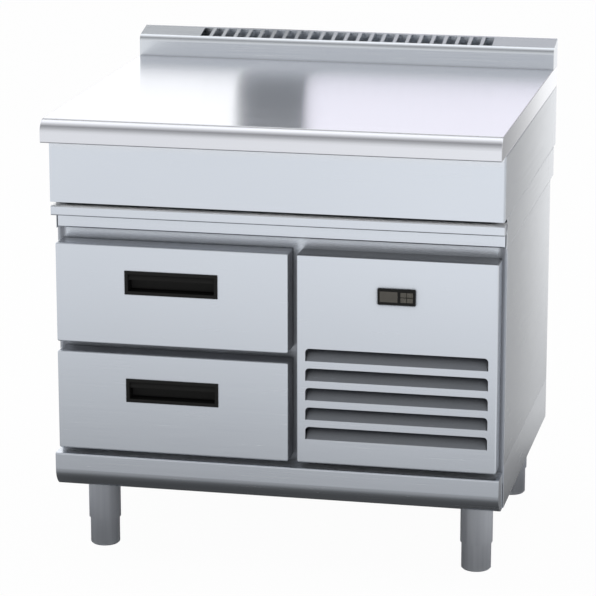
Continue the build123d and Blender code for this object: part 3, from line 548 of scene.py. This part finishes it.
# The finish of each CAD node
NODE_FINISHES = {
    "worktop": "polished steel",
    "worktop_stiffeners": "galvanised sheet",
    "upstand": "brushed steel duct",
    "apron": "brushed steel top",
    "bench_side_left": "brushed steel bench side",
    "bench_side_right": "brushed steel bench side",
    "bench_rear_panel": "galvanised sheet",
    "cabinet_top": "brushed steel top",
    "fascia": "brushed steel",
    "top_band": "brushed steel side",
    "side_panel_left": "brushed steel side",
    "side_panel_right": "brushed steel side",
    "face_frame": "brushed steel frame",
    "inner_liner": "brushed steel",
    "insulation": "rigid foam",
    "partition_panel": "galvanised sheet",
    "rear_panel": "galvanised sheet",
    "rear_cover": "galvanised sheet",
    "base_frame": "galvanised sheet",
    "base_skirt": "brushed steel skirt",
    "plinth": "brushed steel",
    "leg_tubes": "turned steel",
    "service_panel": "brushed steel panel",
    "controller": "moulded ABS",
    "display_window": "smoked acrylic",
    "unit_tray": "galvanised sheet",
    "condenser": "pressed fins",
    "fan_shroud": "black enamel",
    "compressor": "black enamel",
    "refrigerant_lines": "drawn copper",
    "electrical_box": "grey ABS",
    "condensate_tray": "moulded ABS",
    "evaporator": "pressed fins",
    "condenser_fan": "pressed aluminium",
    "evaporator_fan": "moulded ABS",
}
for level in LEVELS:
    NODE_FINISHES[f"drawer_front_{level}"] = "brushed steel front"
    NODE_FINISHES[f"drawer_core_{level}"] = "white polystyrene"
    NODE_FINISHES[f"drawer_pull_{level}"] = "moulded ABS"
    NODE_FINISHES[f"drawer_gasket_{level}"] = "extruded PVC"
    NODE_FINISHES[f"pan_frame_{level}"] = "brushed steel"
    for member in ("cabinet", "middle", "drawer"):
        NODE_FINISHES[f"slide_{member}_{level}"] = "galvanised sheet"
for number in range(1, 5):
    NODE_FINISHES[f"controller_key_{number}"] = "grey ABS"
for corner in ("front_left", "front_right", "back_left", "back_right"):
    NODE_FINISHES[f"foot_{corner}"] = "turned steel"


# Settings that a user would change


class SteelSettings(bpy.types.PropertyGroup):
    """Finish of the sheet metal."""

    roughness: FloatProperty(
        name="Roughness", description="Roughness of the brushed sheet", default=0.25, min=0.05, max=1
    )
    worktop_roughness: FloatProperty(
        name="Worktop roughness",
        description="Roughness of the polished worktop",
        default=0.18,
        min=0.02,
        max=1,
    )
    grain: FloatProperty(
        name="Grain", description="Drawn width of a brushing streak in millimetres", default=2.4, min=0.5
    )
    relief: FloatProperty(
        name="Relief", description="Strength of the brushing relief", default=0.12, min=0, max=1
    )


class PullSettings(bpy.types.PropertyGroup):
    """Sizes of the recessed drawer pulls."""

    rim: FloatProperty(name="Rim", description="Width of the rim", default=5 * MM, unit="LENGTH")
    wall: FloatProperty(name="Wall", description="Wall of the cup", default=2 * MM, unit="LENGTH")
    grip: FloatProperty(name="Grip", description="Height of the grip", default=13 * MM, unit="LENGTH")
    rounding: FloatProperty(
        name="Rounding", description="Radius of the edges", default=0.7 * MM, unit="LENGTH"
    )


class ControllerSettings(bpy.types.PropertyGroup):
    """Sizes of the controller's keys."""

    pad: FloatProperty(
        name="Pad", description="Margin round the sunken pad of a key", default=1.6 * MM, unit="LENGTH"
    )
    rounding: FloatProperty(
        name="Rounding", description="Radius of a key's edges", default=0.5 * MM, unit="LENGTH"
    )


class FanGuardSettings(bpy.types.PropertyGroup):
    """Sizes of the wire guard on the condenser fan."""

    rings: IntProperty(name="Rings", description="Number of wire rings", default=7, min=2, max=20)
    wire: FloatProperty(name="Wire", description="Diameter of the wire", default=2.4 * MM, unit="LENGTH")
    inner: FloatProperty(
        name="Inner radius", description="Radius of the smallest ring", default=40 * MM, unit="LENGTH"
    )
    outer: FloatProperty(
        name="Outer radius", description="Radius of the largest ring", default=113 * MM, unit="LENGTH"
    )


class StudioSettings(bpy.types.PropertyGroup):
    """Camera and light."""

    azimuth: FloatProperty(
        name="Azimuth", description="Camera azimuth", default=math.radians(12.07), subtype="ANGLE"
    )
    elevation: FloatProperty(
        name="Elevation", description="Camera elevation", default=math.radians(14.494), subtype="ANGLE"
    )
    roll: FloatProperty(
        name="Roll", description="Camera roll", default=math.radians(-0.046), subtype="ANGLE"
    )
    distance: FloatProperty(
        name="Distance", description="From the camera to its target", default=6.2149, unit="LENGTH"
    )
    target: FloatVectorProperty(
        name="Target",
        description="Point that the camera looks at",
        default=(-0.0508, 0.1123, 0.4511),
        subtype="XYZ",
    )
    focal: FloatProperty(name="Focal length", description="In millimetres, on a 36 mm sensor", default=178.35)
    world: FloatProperty(name="World", description="Strength of the light from all round", default=1.0, min=0)
    lamp: FloatProperty(name="Lamps", description="Radiance of the two soft lamps", default=0.9, min=0)
    floor: FloatVectorProperty(
        name="Floor",
        description="Colour of the floor",
        default=(0.86, 0.86, 0.87),
        subtype="COLOR",
        min=0,
        max=1,
    )
    whiteness: FloatProperty(
        name="Whiteness", description="How little of its shadow the floor shows", default=0.97, min=0, max=1
    )
    flag_x: FloatVectorProperty(
        name="Flag",
        description="Left and right edge of the dark flag",
        default=(-0.463, -0.287),
        size=2,
        unit="LENGTH",
    )
    flag_y: FloatProperty(
        name="Flag distance", description="How far back the flag stands", default=1.3, unit="LENGTH"
    )
    side_x: FloatProperty(
        name="Side card", description="How far right the side card stands", default=0.55, unit="LENGTH"
    )


class ColdBaseSettings(bpy.types.PropertyGroup):
    """All settings of the refrigerated base."""

    steel: PointerProperty(type=SteelSettings)
    pull: PointerProperty(type=PullSettings)
    controller: PointerProperty(type=ControllerSettings)
    guard: PointerProperty(type=FanGuardSettings)
    studio: PointerProperty(type=StudioSettings)


# Operators


class COLDBASE_OT_finishes(bpy.types.Operator):
    """Make the metals and plastics and give them to the CAD pieces"""

    bl_idname = "coldbase.finishes"
    bl_label = "Finishes"

    def execute(self, context):
        steel = context.scene.cold_base.steel
        sheet = (steel.roughness, steel.grain, steel.relief)
        half_width, bench_y = CAD_BOX[1][0], -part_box("apron")[0][1]
        flange_z, bench_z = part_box("worktop")[0][2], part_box("bench_side_right")[0][2]
        cabinet_low, cabinet_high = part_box("side_panel_right")
        panel_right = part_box("service_panel")[1][0]
        band_z, worktop_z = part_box("top_band")[0][2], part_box("worktop")[1][2]

        # Stainless sheet with a fine brushed finish: cool grey, horizontal streaks, soft blurred reflections
        plain = (*SHEET_COLOURS, *sheet, "X")
        make_finish(brushed_steel, "brushed steel", *plain)
        # The same sheet on the drawer fronts, with painted shade round their edges
        make_finish(brushed_steel, "brushed steel front", *plain, shelter="front")
        # On the apron and the cabinet's top, turned pale and matt in the gap between them, a painted light in
        # that gap
        make_finish(brushed_steel, "brushed steel top", *plain, shelter="gap")
        # On the louvred panel, with painted shade, dark and matt, on its pressed tongues
        make_finish(brushed_steel, "brushed steel panel", *plain, shelter="panel", settled=0.3)
        # On the frame behind the fronts, with painted shade all the way down beside the service panel
        make_finish(
            brushed_steel,
            "brushed steel frame",
            *plain,
            shelter="frame",
            seams=[("Z", (panel_right, -cabinet_low[1], 0))],
            soiling=PANEL_SEAM_SHADE,
        )
        # On the sides, a darker copy of the sheet that paints their shade, with painted shade along the seams
        # and the front corner
        side_shaded = (*SIDE_SHADED_COLOURS, *sheet, "Y")
        side_seams = [("Y", (cabinet_high[0], 0, z)) for z in (bench_z, band_z, cabinet_low[2])]
        make_finish(
            brushed_steel,
            "brushed steel side",
            *side_shaded,
            seams=side_seams + [("Z", (cabinet_high[0], -cabinet_low[1], 0))],
        )
        # On the bench sides the same, with painted shade along their seams and front edge
        bench_seams = [("Y", (cabinet_high[0], 0, z)) for z in (flange_z, bench_z)]
        make_finish(
            brushed_steel,
            "brushed steel bench side",
            *side_shaded,
            seams=bench_seams + [("Z", (cabinet_high[0], bench_y, 0))],
        )
        # On the skirt, a paler copy of the sheet that paints light on it
        make_finish(
            brushed_steel,
            "brushed steel skirt",
            *SKIRT_LIT_COLOURS,
            *sheet,
            "Y",
            seams=[("Y", (cabinet_high[0], 0, cabinet_low[2]))],
        )
        # On the duct of the upstand, which shows its brushing most because it only mirrors the worktop;
        # painted shade at its foot
        make_finish(
            brushed_steel,
            "brushed steel duct",
            "D2D8E0",
            "E6EAEF",
            steel.roughness,
            steel.grain,
            3 * steel.relief,
            "X",
            shelter="duct",
        )
        # Worktop polished after forming: smooth along its length, blurred across it; painted shade by the
        # upstand and along the edges of its ends
        make_finish(
            brushed_steel,
            "polished steel",
            "DEE0E7",
            "E6E8EE",
            steel.worktop_roughness,
            2 * steel.grain,
            steel.relief / 3,
            "X",
            stretch=0.85,
            shelter="worktop",
            seams=[("Y", (half_width, 0, z)) for z in (flange_z, worktop_z)],
        )
        # Tube brushed along its length: darker grey with upright streaks
        make_finish(
            brushed_steel,
            "turned steel",
            "BCC2CD",
            "F0F3F8",
            2.2 * steel.roughness,
            3 * steel.grain,
            steel.relief / 2,
            "Z",
            stretch=0.3,
        )
        # Hot-dip galvanised sheet: flat crystals of slightly different greys
        make_finish(speckled, "galvanised sheet", "8F9499", "AEB3B8", 1.0, 0.45, 9, 0.05, cells=True)
        # Injection-moulded ABS with a spark-eroded texture: almost black, broad dull highlights
        make_finish(speckled, "moulded ABS", "121212", "1A1A19", 0.0, 0.5, 0.8, 0.25, sheen=0.2)
        # The same plastic in warm grey, for the keys and the electrical box
        make_finish(speckled, "grey ABS", "504D46", "5B5850", 0.0, 0.5, 0.8, 0.2)
        # Cast acrylic tinted brown: glossy and dark while the display is off
        make_finish(speckled, "smoked acrylic", "47443D", "4B4841", 0.0, 0.18, 30, 0.0)
        # High-impact polystyrene, vacuum formed: white with a faint sheen
        make_finish(speckled, "white polystyrene", "DADADA", "E4E4E3", 0.0, 0.45, 4, 0.05)
        # Extruded PVC gasket: soft dark grey, dull
        make_finish(speckled, "extruded PVC", "3A3B3E", "454649", 0.0, 0.7, 2, 0.1)
        # Polyurethane foam cut flat: cream, matt and open-pored
        make_finish(speckled, "rigid foam", "D8CDA0", "E3D9B0", 0.0, 0.9, 1.5, 0.5)
        # Cold-drawn copper tube: warm and fairly smooth
        make_finish(speckled, "drawn copper", "C8835A", "D99A70", 1.0, 0.3, 6, 0.05)
        # Stoved black enamel: dark with a clear sheen and slight orange peel
        make_finish(speckled, "black enamel", "17181A", "1E1F22", 0.0, 0.3, 2.5, 0.2)
        # Pressed aluminium blades: pale and slightly dull
        make_finish(speckled, "pressed aluminium", "BFC2C5", "CDD0D2", 1.0, 0.35, 5, 0.05)
        # Aluminium fins of a coil, seen edge on, with painted shade in the gaps between them
        make_finish(finned, "pressed fins", "B9BDC1", "2B2D30", 4.2)

        for node, name in NODE_FINISHES.items():
            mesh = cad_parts[node].data
            mesh.materials.clear()
            mesh.materials.append(FINISHES[name])
        return {"FINISHED"}


# Back of a pull's grip and how far its top leans back, in walls of the cup
GRIP_BACK = 2.2
GRIP_LEAN = 2


class COLDBASE_OT_pulls(bpy.types.Operator):
    """Model the recessed pulls of the drawers"""

    bl_idname = "coldbase.pulls"
    bl_label = "Drawer pulls"

    def execute(self, context):
        settings = context.scene.cold_base.pull
        low, high = (Vector(corner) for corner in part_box("drawer_pull_lower"))
        front_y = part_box("drawer_front_lower")[0][1]
        cup_left, cup_right = low.x + settings.rim, high.x - settings.rim
        cup_top = high.z - settings.rim
        rim = add_block("pull_rim", (low.x, low.y, low.z), (high.x, front_y, high.z))
        press_in(rim, looks_to_back, settings.rim, (0, high.y - front_y, 0))
        hollow = high.y - low.y - settings.wall
        press_in(rim, looks_to_front, settings.rim + settings.wall, (0, hollow, 0))
        round_edges(rim, settings.rounding)
        half_wall = settings.wall / 2
        grip = add_block(
            "pull_grip",
            (cup_left + half_wall, low.y + settings.wall, cup_top - settings.grip),
            (cup_right - half_wall, low.y + GRIP_BACK * settings.wall, cup_top - half_wall),
        )
        pick(grip, looks_up)
        bpy.ops.transform.translate(value=(0, GRIP_LEAN * settings.wall, 0))
        bpy.ops.object.mode_set(mode="OBJECT")
        round_edges(grip, settings.rounding)
        pull = join([rim, grip], "drawer_pull_piece_lower")
        offset = Vector(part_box("drawer_pull_upper")[0]) - low
        pulls = (pull, copy_piece(pull, "drawer_pull_piece_upper", offset))
        for level, piece in zip(LEVELS, pulls):
            hand_over(piece, f"drawer_{level}", FINISHES["moulded ABS"])
            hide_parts(f"drawer_pull_{level}")
        return {"FINISHED"}


# Depth of the pad in a key
PAD_DEPTH = 0.4 * MM


class COLDBASE_OT_keys(bpy.types.Operator):
    """Model the four keys of the controller, each with a sunken pad"""

    bl_idname = "coldbase.keys"
    bl_label = "Controller keys"

    def execute(self, context):
        settings = context.scene.cold_base.controller
        for number in range(1, 5):
            node = f"controller_key_{number}"
            low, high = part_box(node)
            key = add_block(f"{node}_cap", low, high)
            press_in(key, looks_to_front, settings.pad, (0, PAD_DEPTH, 0))
            round_edges(key, settings.rounding, segments=2)
            hand_over(key, node, FINISHES["grey ABS"])
            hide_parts(node)
        return {"FINISHED"}


# Spokes of the fan guard: how much longer each is than the rings' span, and how far out it is moved
SPOKES = 4
SPOKE_OVERHANG, SPOKE_SHIFT = 14 * MM, 6 * MM
RING_SEGMENTS, WIRE_SEGMENTS, SPOKE_SEGMENTS = 72, 8, 10
WIRE_SMOOTH_UNDER = math.radians(50)


class COLDBASE_OT_fan_guard(bpy.types.Operator):
    """Weld the wire guard behind the condenser fan"""

    bl_idname = "coldbase.fan_guard"
    bl_label = "Fan guard"

    def execute(self, context):
        settings = context.scene.cold_base.guard
        shroud_low, shroud_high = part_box("fan_shroud")
        fan_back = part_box("condenser_fan")[1][1]
        centre = Vector((
            (shroud_low[0] + shroud_high[0]) / 2,
            fan_back + 2 * settings.wire,
            (shroud_low[2] + shroud_high[2]) / 2,
        ))
        span = settings.outer - settings.inner
        wires = []
        for ring in range(settings.rings):
            nothing_selected()
            bpy.ops.mesh.primitive_torus_add(
                location=centre,
                rotation=(math.radians(90), 0, 0),
                major_segments=RING_SEGMENTS,
                minor_segments=WIRE_SEGMENTS,
                major_radius=settings.inner + span / (settings.rings - 1) * ring,
                minor_radius=settings.wire / 2,
            )
            wires.append(bpy.context.active_object)
        reach = (settings.outer + settings.inner) / 2 + SPOKE_SHIFT
        for spoke in range(SPOKES):
            nothing_selected()
            angle = 2 * math.pi / SPOKES * spoke
            outward = Vector((math.sin(angle) * reach, settings.wire, math.cos(angle) * reach))
            bpy.ops.mesh.primitive_cylinder_add(
                vertices=SPOKE_SEGMENTS,
                radius=settings.wire / 2,
                depth=span + SPOKE_OVERHANG,
                location=centre + outward,
                rotation=(0, angle, 0),
            )
            wires.append(bpy.context.active_object)
        guard = join(wires, "fan_guard")
        bpy.ops.object.shade_smooth_by_angle(angle=WIRE_SMOOTH_UNDER)
        hand_over(guard, "body", FINISHES["black enamel"])
        return {"FINISHED"}


# Screw head: distance from the cover's edges, radius, height and rounding, and its cross recess
SCREW_INSET, SCREW_RADIUS, SCREW_HEIGHT, SCREW_ROUNDING = 14 * MM, 4.5 * MM, 2 * MM, 0.9 * MM
CROSS_LENGTH, CROSS_WIDTH = 4.6 * MM, 1 * MM


class COLDBASE_OT_screws(bpy.types.Operator):
    """Turn the domed cross-head screws of the rear cover"""

    bl_idname = "coldbase.screws"
    bl_label = "Rear cover screws"

    def execute(self, context):
        low, high = (Vector(corner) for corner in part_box("rear_cover"))
        places = [
            Vector((x, high.y, z))
            for x in (low.x + SCREW_INSET, high.x - SCREW_INSET)
            for z in (low.z + SCREW_INSET, (low.z + high.z) / 2, high.z - SCREW_INSET)
        ]
        nothing_selected()
        bpy.ops.mesh.primitive_cylinder_add(
            vertices=32,
            radius=SCREW_RADIUS,
            depth=SCREW_HEIGHT,
            location=places[0] + Vector((0, SCREW_HEIGHT / 2, 0)),
            rotation=(math.radians(90), 0, 0),
        )
        head = bpy.context.active_object
        bpy.ops.object.transform_apply(location=True, rotation=True, scale=True)
        round_edges(head, SCREW_ROUNDING, segments=4)
        for width, height in ((CROSS_LENGTH, CROSS_WIDTH), (CROSS_WIDTH, CROSS_LENGTH)):
            cut_low = places[0] + Vector((-width / 2, SCREW_HEIGHT / 2, -height / 2))
            cut_high = places[0] + Vector((width / 2, 2 * SCREW_HEIGHT, height / 2))
            cutter = add_block("recess", cut_low, cut_high)
            recess = head.modifiers.new("recess", "BOOLEAN")
            recess.object = cutter
            recess.operation = "DIFFERENCE"
            recess.solver = "EXACT"
            nothing_selected()
            bpy.context.view_layer.objects.active = head
            head.select_set(True)
            bpy.ops.object.modifier_apply(modifier=recess.name)
            bpy.data.objects.remove(cutter)
        heads = [head] + [copy_piece(head, "screw", place - places[0]) for place in places[1:]]
        screws = join(heads, "rear_cover_screw_heads")
        hand_over(screws, "body", FINISHES["turned steel"])
        return {"FINISHED"}


def add_softbox(name, centre, target, size, radiance):
    """An area lamp of a given radiance that looks at a target and doesn't show to the camera."""
    nothing_selected()
    bpy.ops.object.light_add(type="AREA", location=centre)
    lamp = bpy.context.active_object
    lamp.name = name
    lamp.data.shape = "RECTANGLE"
    lamp.data.size, lamp.data.size_y = size
    lamp.data.energy = radiance * math.pi * size[0] * size[1]
    direction = Vector(target) - Vector(centre)
    lamp.rotation_euler = direction.to_track_quat("-Z", "Y").to_euler()
    lamp.visible_camera = False
    lamp.visible_glossy = False


def glowing(name, colour, strength):
    """A card lit evenly by the lamp behind it."""
    material, tree, output = new_material(name)
    shader = add_node(
        tree, "ShaderNodeEmission", inputs={"Color": srgb_to_linear(colour), "Strength": strength}
    )
    tree.links.new(shader.outputs[0], output.inputs["Surface"])
    return material


# Painted shadow of the object on the floor in the metal: brightness by the distance from the object in metres
FLOOR_SHADOW_FALL = (
    (0.0, 0.07),
    (0.12, 0.1),
    (0.28, 0.34),
    (0.6, 0.43),
    (0.9, 0.54),
    (1.7, 0.8),
    (2.5, 0.97),
    (3.3, 1.0),
    (5.0, 1.04),
)
# Place in metres and strength at the left and the right end of the floor's fall, which paints light brighter
# to the right
FLOOR_LEFT, FLOOR_RIGHT = (-1.1, 0.95), (0.1, 1.07)

# Brightness of the side card from its front end to its back end
SIDE_CARD_FALL = (
    (0.0, 0.9),
    (0.35, 0.78),
    (0.525, 0.5),
    (0.6, 0.2),
    (0.648, 0.28),
    (0.8, 0.5),
    (0.94, 0.74),
    (0.972, 1.0),
    (1.0, 1.1),
)


def brightness_ramp(tree, place, levels):
    """Grey levels by place along 0 to 1, as (place, level) pairs."""
    blend = add_node(tree, "ShaderNodeValToRGB", links={"Fac": place})
    ramp = blend.color_ramp
    while len(ramp.elements) < len(levels):
        ramp.elements.new(0.5)
    for element, (position, level) in zip(ramp.elements, levels):
        element.position = position
        element.color = (level, level, level, 1)
    return blend.outputs["Color"]


def graded_card(name, levels, low, high):
    """A card whose brightness changes along its depth, from one Y to the other in metres."""
    material, tree, output = new_material(name)
    place = add_node(tree, "ShaderNodeTexCoord")
    parts = add_node(tree, "ShaderNodeSeparateXYZ", links={"Vector": place.outputs["Object"]})
    share = add_node(
        tree,
        "ShaderNodeMapRange",
        inputs={"From Min": low, "From Max": high},
        links={"Value": parts.outputs["Y"]},
    )
    shader = add_node(
        tree, "ShaderNodeEmission", links={"Color": brightness_ramp(tree, share.outputs["Result"], levels)}
    )
    tree.links.new(shader.outputs[0], output.inputs["Surface"])
    return material


def paper_floor(colour, footprint, whiteness):
    """Matt white paper. It takes the shadow and shows nearly white to the camera; in the metal it glows with
    a painted shadow.
    """
    material, tree, output = new_material("studio paper")
    paper = add_node(tree, "ShaderNodeBsdfDiffuse", inputs={"Color": colour, "Roughness": 1.0})
    white = add_node(tree, "ShaderNodeEmission", inputs={"Color": (1, 1, 1, 1), "Strength": 1.0})
    place = add_node(tree, "ShaderNodeTexCoord")
    sides = add_node(
        tree, "ShaderNodeVectorMath", {"operation": "ABSOLUTE"}, links={0: place.outputs["Object"]}
    )
    outside = add_node(
        tree, "ShaderNodeVectorMath", {"operation": "SUBTRACT"}, {1: footprint}, {0: sides.outputs["Vector"]}
    )
    clear = add_node(
        tree, "ShaderNodeVectorMath", {"operation": "MAXIMUM"}, {1: (0, 0, 0)}, {0: outside.outputs["Vector"]}
    )
    distance = add_node(
        tree, "ShaderNodeVectorMath", {"operation": "LENGTH"}, links={0: clear.outputs["Vector"]}
    )
    reach = FLOOR_SHADOW_FALL[-1][0]
    share = add_node(
        tree,
        "ShaderNodeMath",
        {"operation": "DIVIDE", "use_clamp": True},
        {1: reach},
        {0: distance.outputs["Value"]},
    )
    levels = [(metres / reach, level) for metres, level in FLOOR_SHADOW_FALL]
    parts = add_node(tree, "ShaderNodeSeparateXYZ", links={"Vector": place.outputs["Object"]})
    to_right = add_node(
        tree,
        "ShaderNodeMapRange",
        inputs={
            "From Min": FLOOR_LEFT[0],
            "From Max": FLOOR_RIGHT[0],
            "To Min": FLOOR_LEFT[1],
            "To Max": FLOOR_RIGHT[1],
        },
        links={"Value": parts.outputs["X"]},
    )
    # Painted shadow: in the metal the floor glows, dark near the object and brighter further off and to the
    # right
    shadow_in_metal = add_node(
        tree,
        "ShaderNodeEmission",
        links={
            "Color": brightness_ramp(tree, share.outputs[0], levels),
            "Strength": to_right.outputs["Result"],
        },
    )
    path = add_node(tree, "ShaderNodeLightPath")
    seen_white = add_node(
        tree, "ShaderNodeMath", {"operation": "MULTIPLY"}, {1: whiteness}, {0: path.outputs["Is Camera Ray"]}
    )
    straight = add_node(
        tree,
        "ShaderNodeMixShader",
        links={0: seen_white.outputs[0], 1: paper.outputs[0], 2: white.outputs[0]},
    )
    mirrored = add_node(
        tree,
        "ShaderNodeMath",
        {"operation": "MAXIMUM"},
        links={0: path.outputs["Is Glossy Ray"], 1: path.outputs["Is Transmission Ray"]},
    )
    mixed = add_node(
        tree,
        "ShaderNodeMixShader",
        links={0: mirrored.outputs[0], 1: straight.outputs[0], 2: shadow_in_metal.outputs[0]},
    )
    tree.links.new(mixed.outputs[0], output.inputs["Surface"])
    return material


# Brightness of the studio by the angle from the front, over the top, to the back, in degrees
STUDIO_ARC = (
    (0, 0.88),
    (15, 0.78),
    (22, 0.6),
    (31, 0.53),
    (42, 0.45),
    (47, 0.3),
    (53, 0.3),
    (60, 0.5),
    (75, 0.76),
    (86, 1.0),
    (96, 1.25),
    (108, 1.4),
    (124, 1.3),
    (132, 0.34),
    (143, 0.34),
    (152, 1.15),
    (162, 1.36),
    (180, 1.42),
)


def studio_world(strength):
    """A soft studio: dark above the camera, bright overhead and behind the object."""
    world = bpy.data.worlds.new("studio")
    world.use_nodes = True
    tree = world.node_tree
    tree.nodes.clear()
    place = add_node(tree, "ShaderNodeTexCoord")
    parts = add_node(tree, "ShaderNodeSeparateXYZ", links={"Vector": place.outputs["Generated"]})
    to_front = add_node(tree, "ShaderNodeMath", {"operation": "MULTIPLY"}, {1: -1.0}, {0: parts.outputs["Y"]})
    angle = add_node(
        tree,
        "ShaderNodeMath",
        {"operation": "ARCTAN2"},
        links={0: parts.outputs["Z"], 1: to_front.outputs[0]},
    )
    turned = add_node(
        tree,
        "ShaderNodeMath",
        {"operation": "DIVIDE", "use_clamp": True},
        {1: math.pi},
        {0: angle.outputs[0]},
    )
    levels = [(degrees / 180, level) for degrees, level in STUDIO_ARC]
    arc = brightness_ramp(tree, turned.outputs[0], levels)
    studio = add_node(tree, "ShaderNodeBackground", inputs={"Strength": strength}, links={"Color": arc})
    white = add_node(tree, "ShaderNodeBackground", inputs={"Color": (1, 1, 1, 1), "Strength": 1.0})
    path = add_node(tree, "ShaderNodeLightPath")
    mixed = add_node(
        tree,
        "ShaderNodeMixShader",
        links={0: path.outputs["Is Camera Ray"], 1: studio.outputs[0], 2: white.outputs[0]},
    )
    output = add_node(tree, "ShaderNodeOutputWorld")
    tree.links.new(mixed.outputs[0], output.inputs["Surface"])
    return world


# Studio in metres: the floor, the cards' thickness, the heights of the flag and of the screen beside it,
# and the width of that screen
FLOOR_SIZE = 80
CARD = 10 * MM
FLAG_Z = (1.02, 1.55)
SCREEN_WIDTH = 1.9
# The side card reaches from its front end to its back end, and is higher off the floor in front of a step
SIDE_Y, SIDE_Z = (-1.1, 0.9), (0.0, 0.95)
STEP_Y, STEP_Z = 0.1, 0.2
# Colour and strength of the flag and of the screen
FLAG_GLOW, SCREEN_GLOW = ("5A5E63", 1.3), ("F4F1FA", 1.25)
# Place, target and size of each lamp
LAMPS = {
    "lamp_top": ((-0.5, 0.9, 3.4), (0, 0, 0.4), (3.5, 2.4)),
    "lamp_left": ((-3.2, -1.2, 2.6), (0, 0, 0.5), (2.0, 2.0)),
}
# Sensor of the camera in millimetres, and how far it sees in metres
SENSOR_WIDTH, CLIP_END = 36, 200


class COLDBASE_OT_studio(bpy.types.Operator):
    """Set up the floor, the cards, the lamps and the camera"""

    bl_idname = "coldbase.studio"
    bl_label = "Studio"

    def execute(self, context):
        settings = context.scene.cold_base.studio
        scene = context.scene
        nothing_selected()
        bpy.ops.mesh.primitive_plane_add(size=FLOOR_SIZE, location=(0, 0, 0))
        floor = bpy.context.active_object
        floor.name = "studio_floor"
        footprint = (CAD_BOX[1][0], CAD_BOX[1][1], 0)
        floor.data.materials.append(paper_floor((*settings.floor, 1), footprint, settings.whiteness))
        (flag_left, flag_right), flag_y, side_x = settings.flag_x, settings.flag_y, settings.side_x
        flag_back, side_right = flag_y + CARD, side_x + CARD
        screen_right = flag_right + SCREEN_WIDTH
        flag = glowing("studio flag", *FLAG_GLOW)
        screen = glowing("studio screen", *SCREEN_GLOW)
        side = graded_card("studio side", SIDE_CARD_FALL, *SIDE_Y)
        low_z, high_z = FLAG_Z
        cards = (
            ("studio_flag", (flag_left, flag_y, low_z), (flag_right, flag_back, high_z), flag),
            ("studio_screen", (flag_right, flag_y, low_z), (screen_right, flag_back, high_z), screen),
            ("studio_side_back", (side_x, STEP_Y, SIDE_Z[0]), (side_right, SIDE_Y[1], SIDE_Z[1]), side),
            ("studio_side_front", (side_x, SIDE_Y[0], STEP_Z), (side_right, STEP_Y, SIDE_Z[1]), side),
        )
        for name, low, high, material in cards:
            card = add_block(name, low, high)
            card.data.materials.append(material)
            card.visible_camera = False
            card.visible_diffuse = False
            card.visible_shadow = False
        scene.world = studio_world(settings.world)
        for name, (centre, target, size) in LAMPS.items():
            add_softbox(name, centre, target, size, settings.lamp)

        bpy.ops.object.camera_add()
        camera = bpy.context.active_object
        camera.name = "camera"
        camera.data.sensor_width = SENSOR_WIDTH
        camera.data.lens = settings.focal
        camera.data.clip_end = CLIP_END
        azimuth, elevation, roll = settings.azimuth, settings.elevation, settings.roll
        ahead = Vector((
            -math.sin(azimuth) * math.cos(elevation),
            math.cos(azimuth) * math.cos(elevation),
            -math.sin(elevation),
        ))
        right = Vector((math.cos(azimuth), math.sin(azimuth), 0))
        up = right.cross(ahead)
        turned_right = right * math.cos(roll) + up * math.sin(roll)
        turned_up = up * math.cos(roll) - right * math.sin(roll)
        place = Vector(settings.target) - ahead * settings.distance
        rotation = Matrix((turned_right, turned_up, -ahead)).transposed().to_4x4()
        camera.matrix_world = Matrix.Translation(place) @ rotation
        scene.camera = camera
        scene.view_settings.view_transform = "Standard"
        return {"FINISHED"}


OPERATORS = (
    COLDBASE_OT_finishes,
    COLDBASE_OT_pulls,
    COLDBASE_OT_keys,
    COLDBASE_OT_fan_guard,
    COLDBASE_OT_screws,
    COLDBASE_OT_studio,
)


class COLDBASE_PT_panel(bpy.types.Panel):
    """Lists the steps of the finish and their settings"""

    bl_idname = "COLDBASE_PT_panel"
    bl_label = "Cold base"
    bl_space_type = "VIEW_3D"
    bl_region_type = "UI"
    bl_category = "Cold base"

    def draw(self, context):
        layout = self.layout
        for operator in OPERATORS:
            layout.operator(operator.bl_idname)
        settings = context.scene.cold_base
        for group in ("steel", "pull", "controller", "guard", "studio"):
            box = layout.box()
            box.label(text=group.title())
            for name in getattr(settings, group).bl_rna.properties.keys():
                if name not in ("rna_type", "name"):
                    box.prop(getattr(settings, group), name)


CLASSES = (
    SteelSettings,
    PullSettings,
    ControllerSettings,
    FanGuardSettings,
    StudioSettings,
    ColdBaseSettings,
    *OPERATORS,
    COLDBASE_PT_panel,
)


def register():
    for item in CLASSES:
        bpy.utils.register_class(item)
    bpy.types.Scene.cold_base = PointerProperty(type=ColdBaseSettings)


def unregister():
    del bpy.types.Scene.cold_base
    for item in reversed(CLASSES):
        bpy.utils.unregister_class(item)


def main():
    """Register the add-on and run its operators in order."""
    register()
    for operator in OPERATORS:
        family, name = operator.bl_idname.split(".")
        getattr(getattr(bpy.ops, family), name)()


if __name__ == "__main__":
    main()
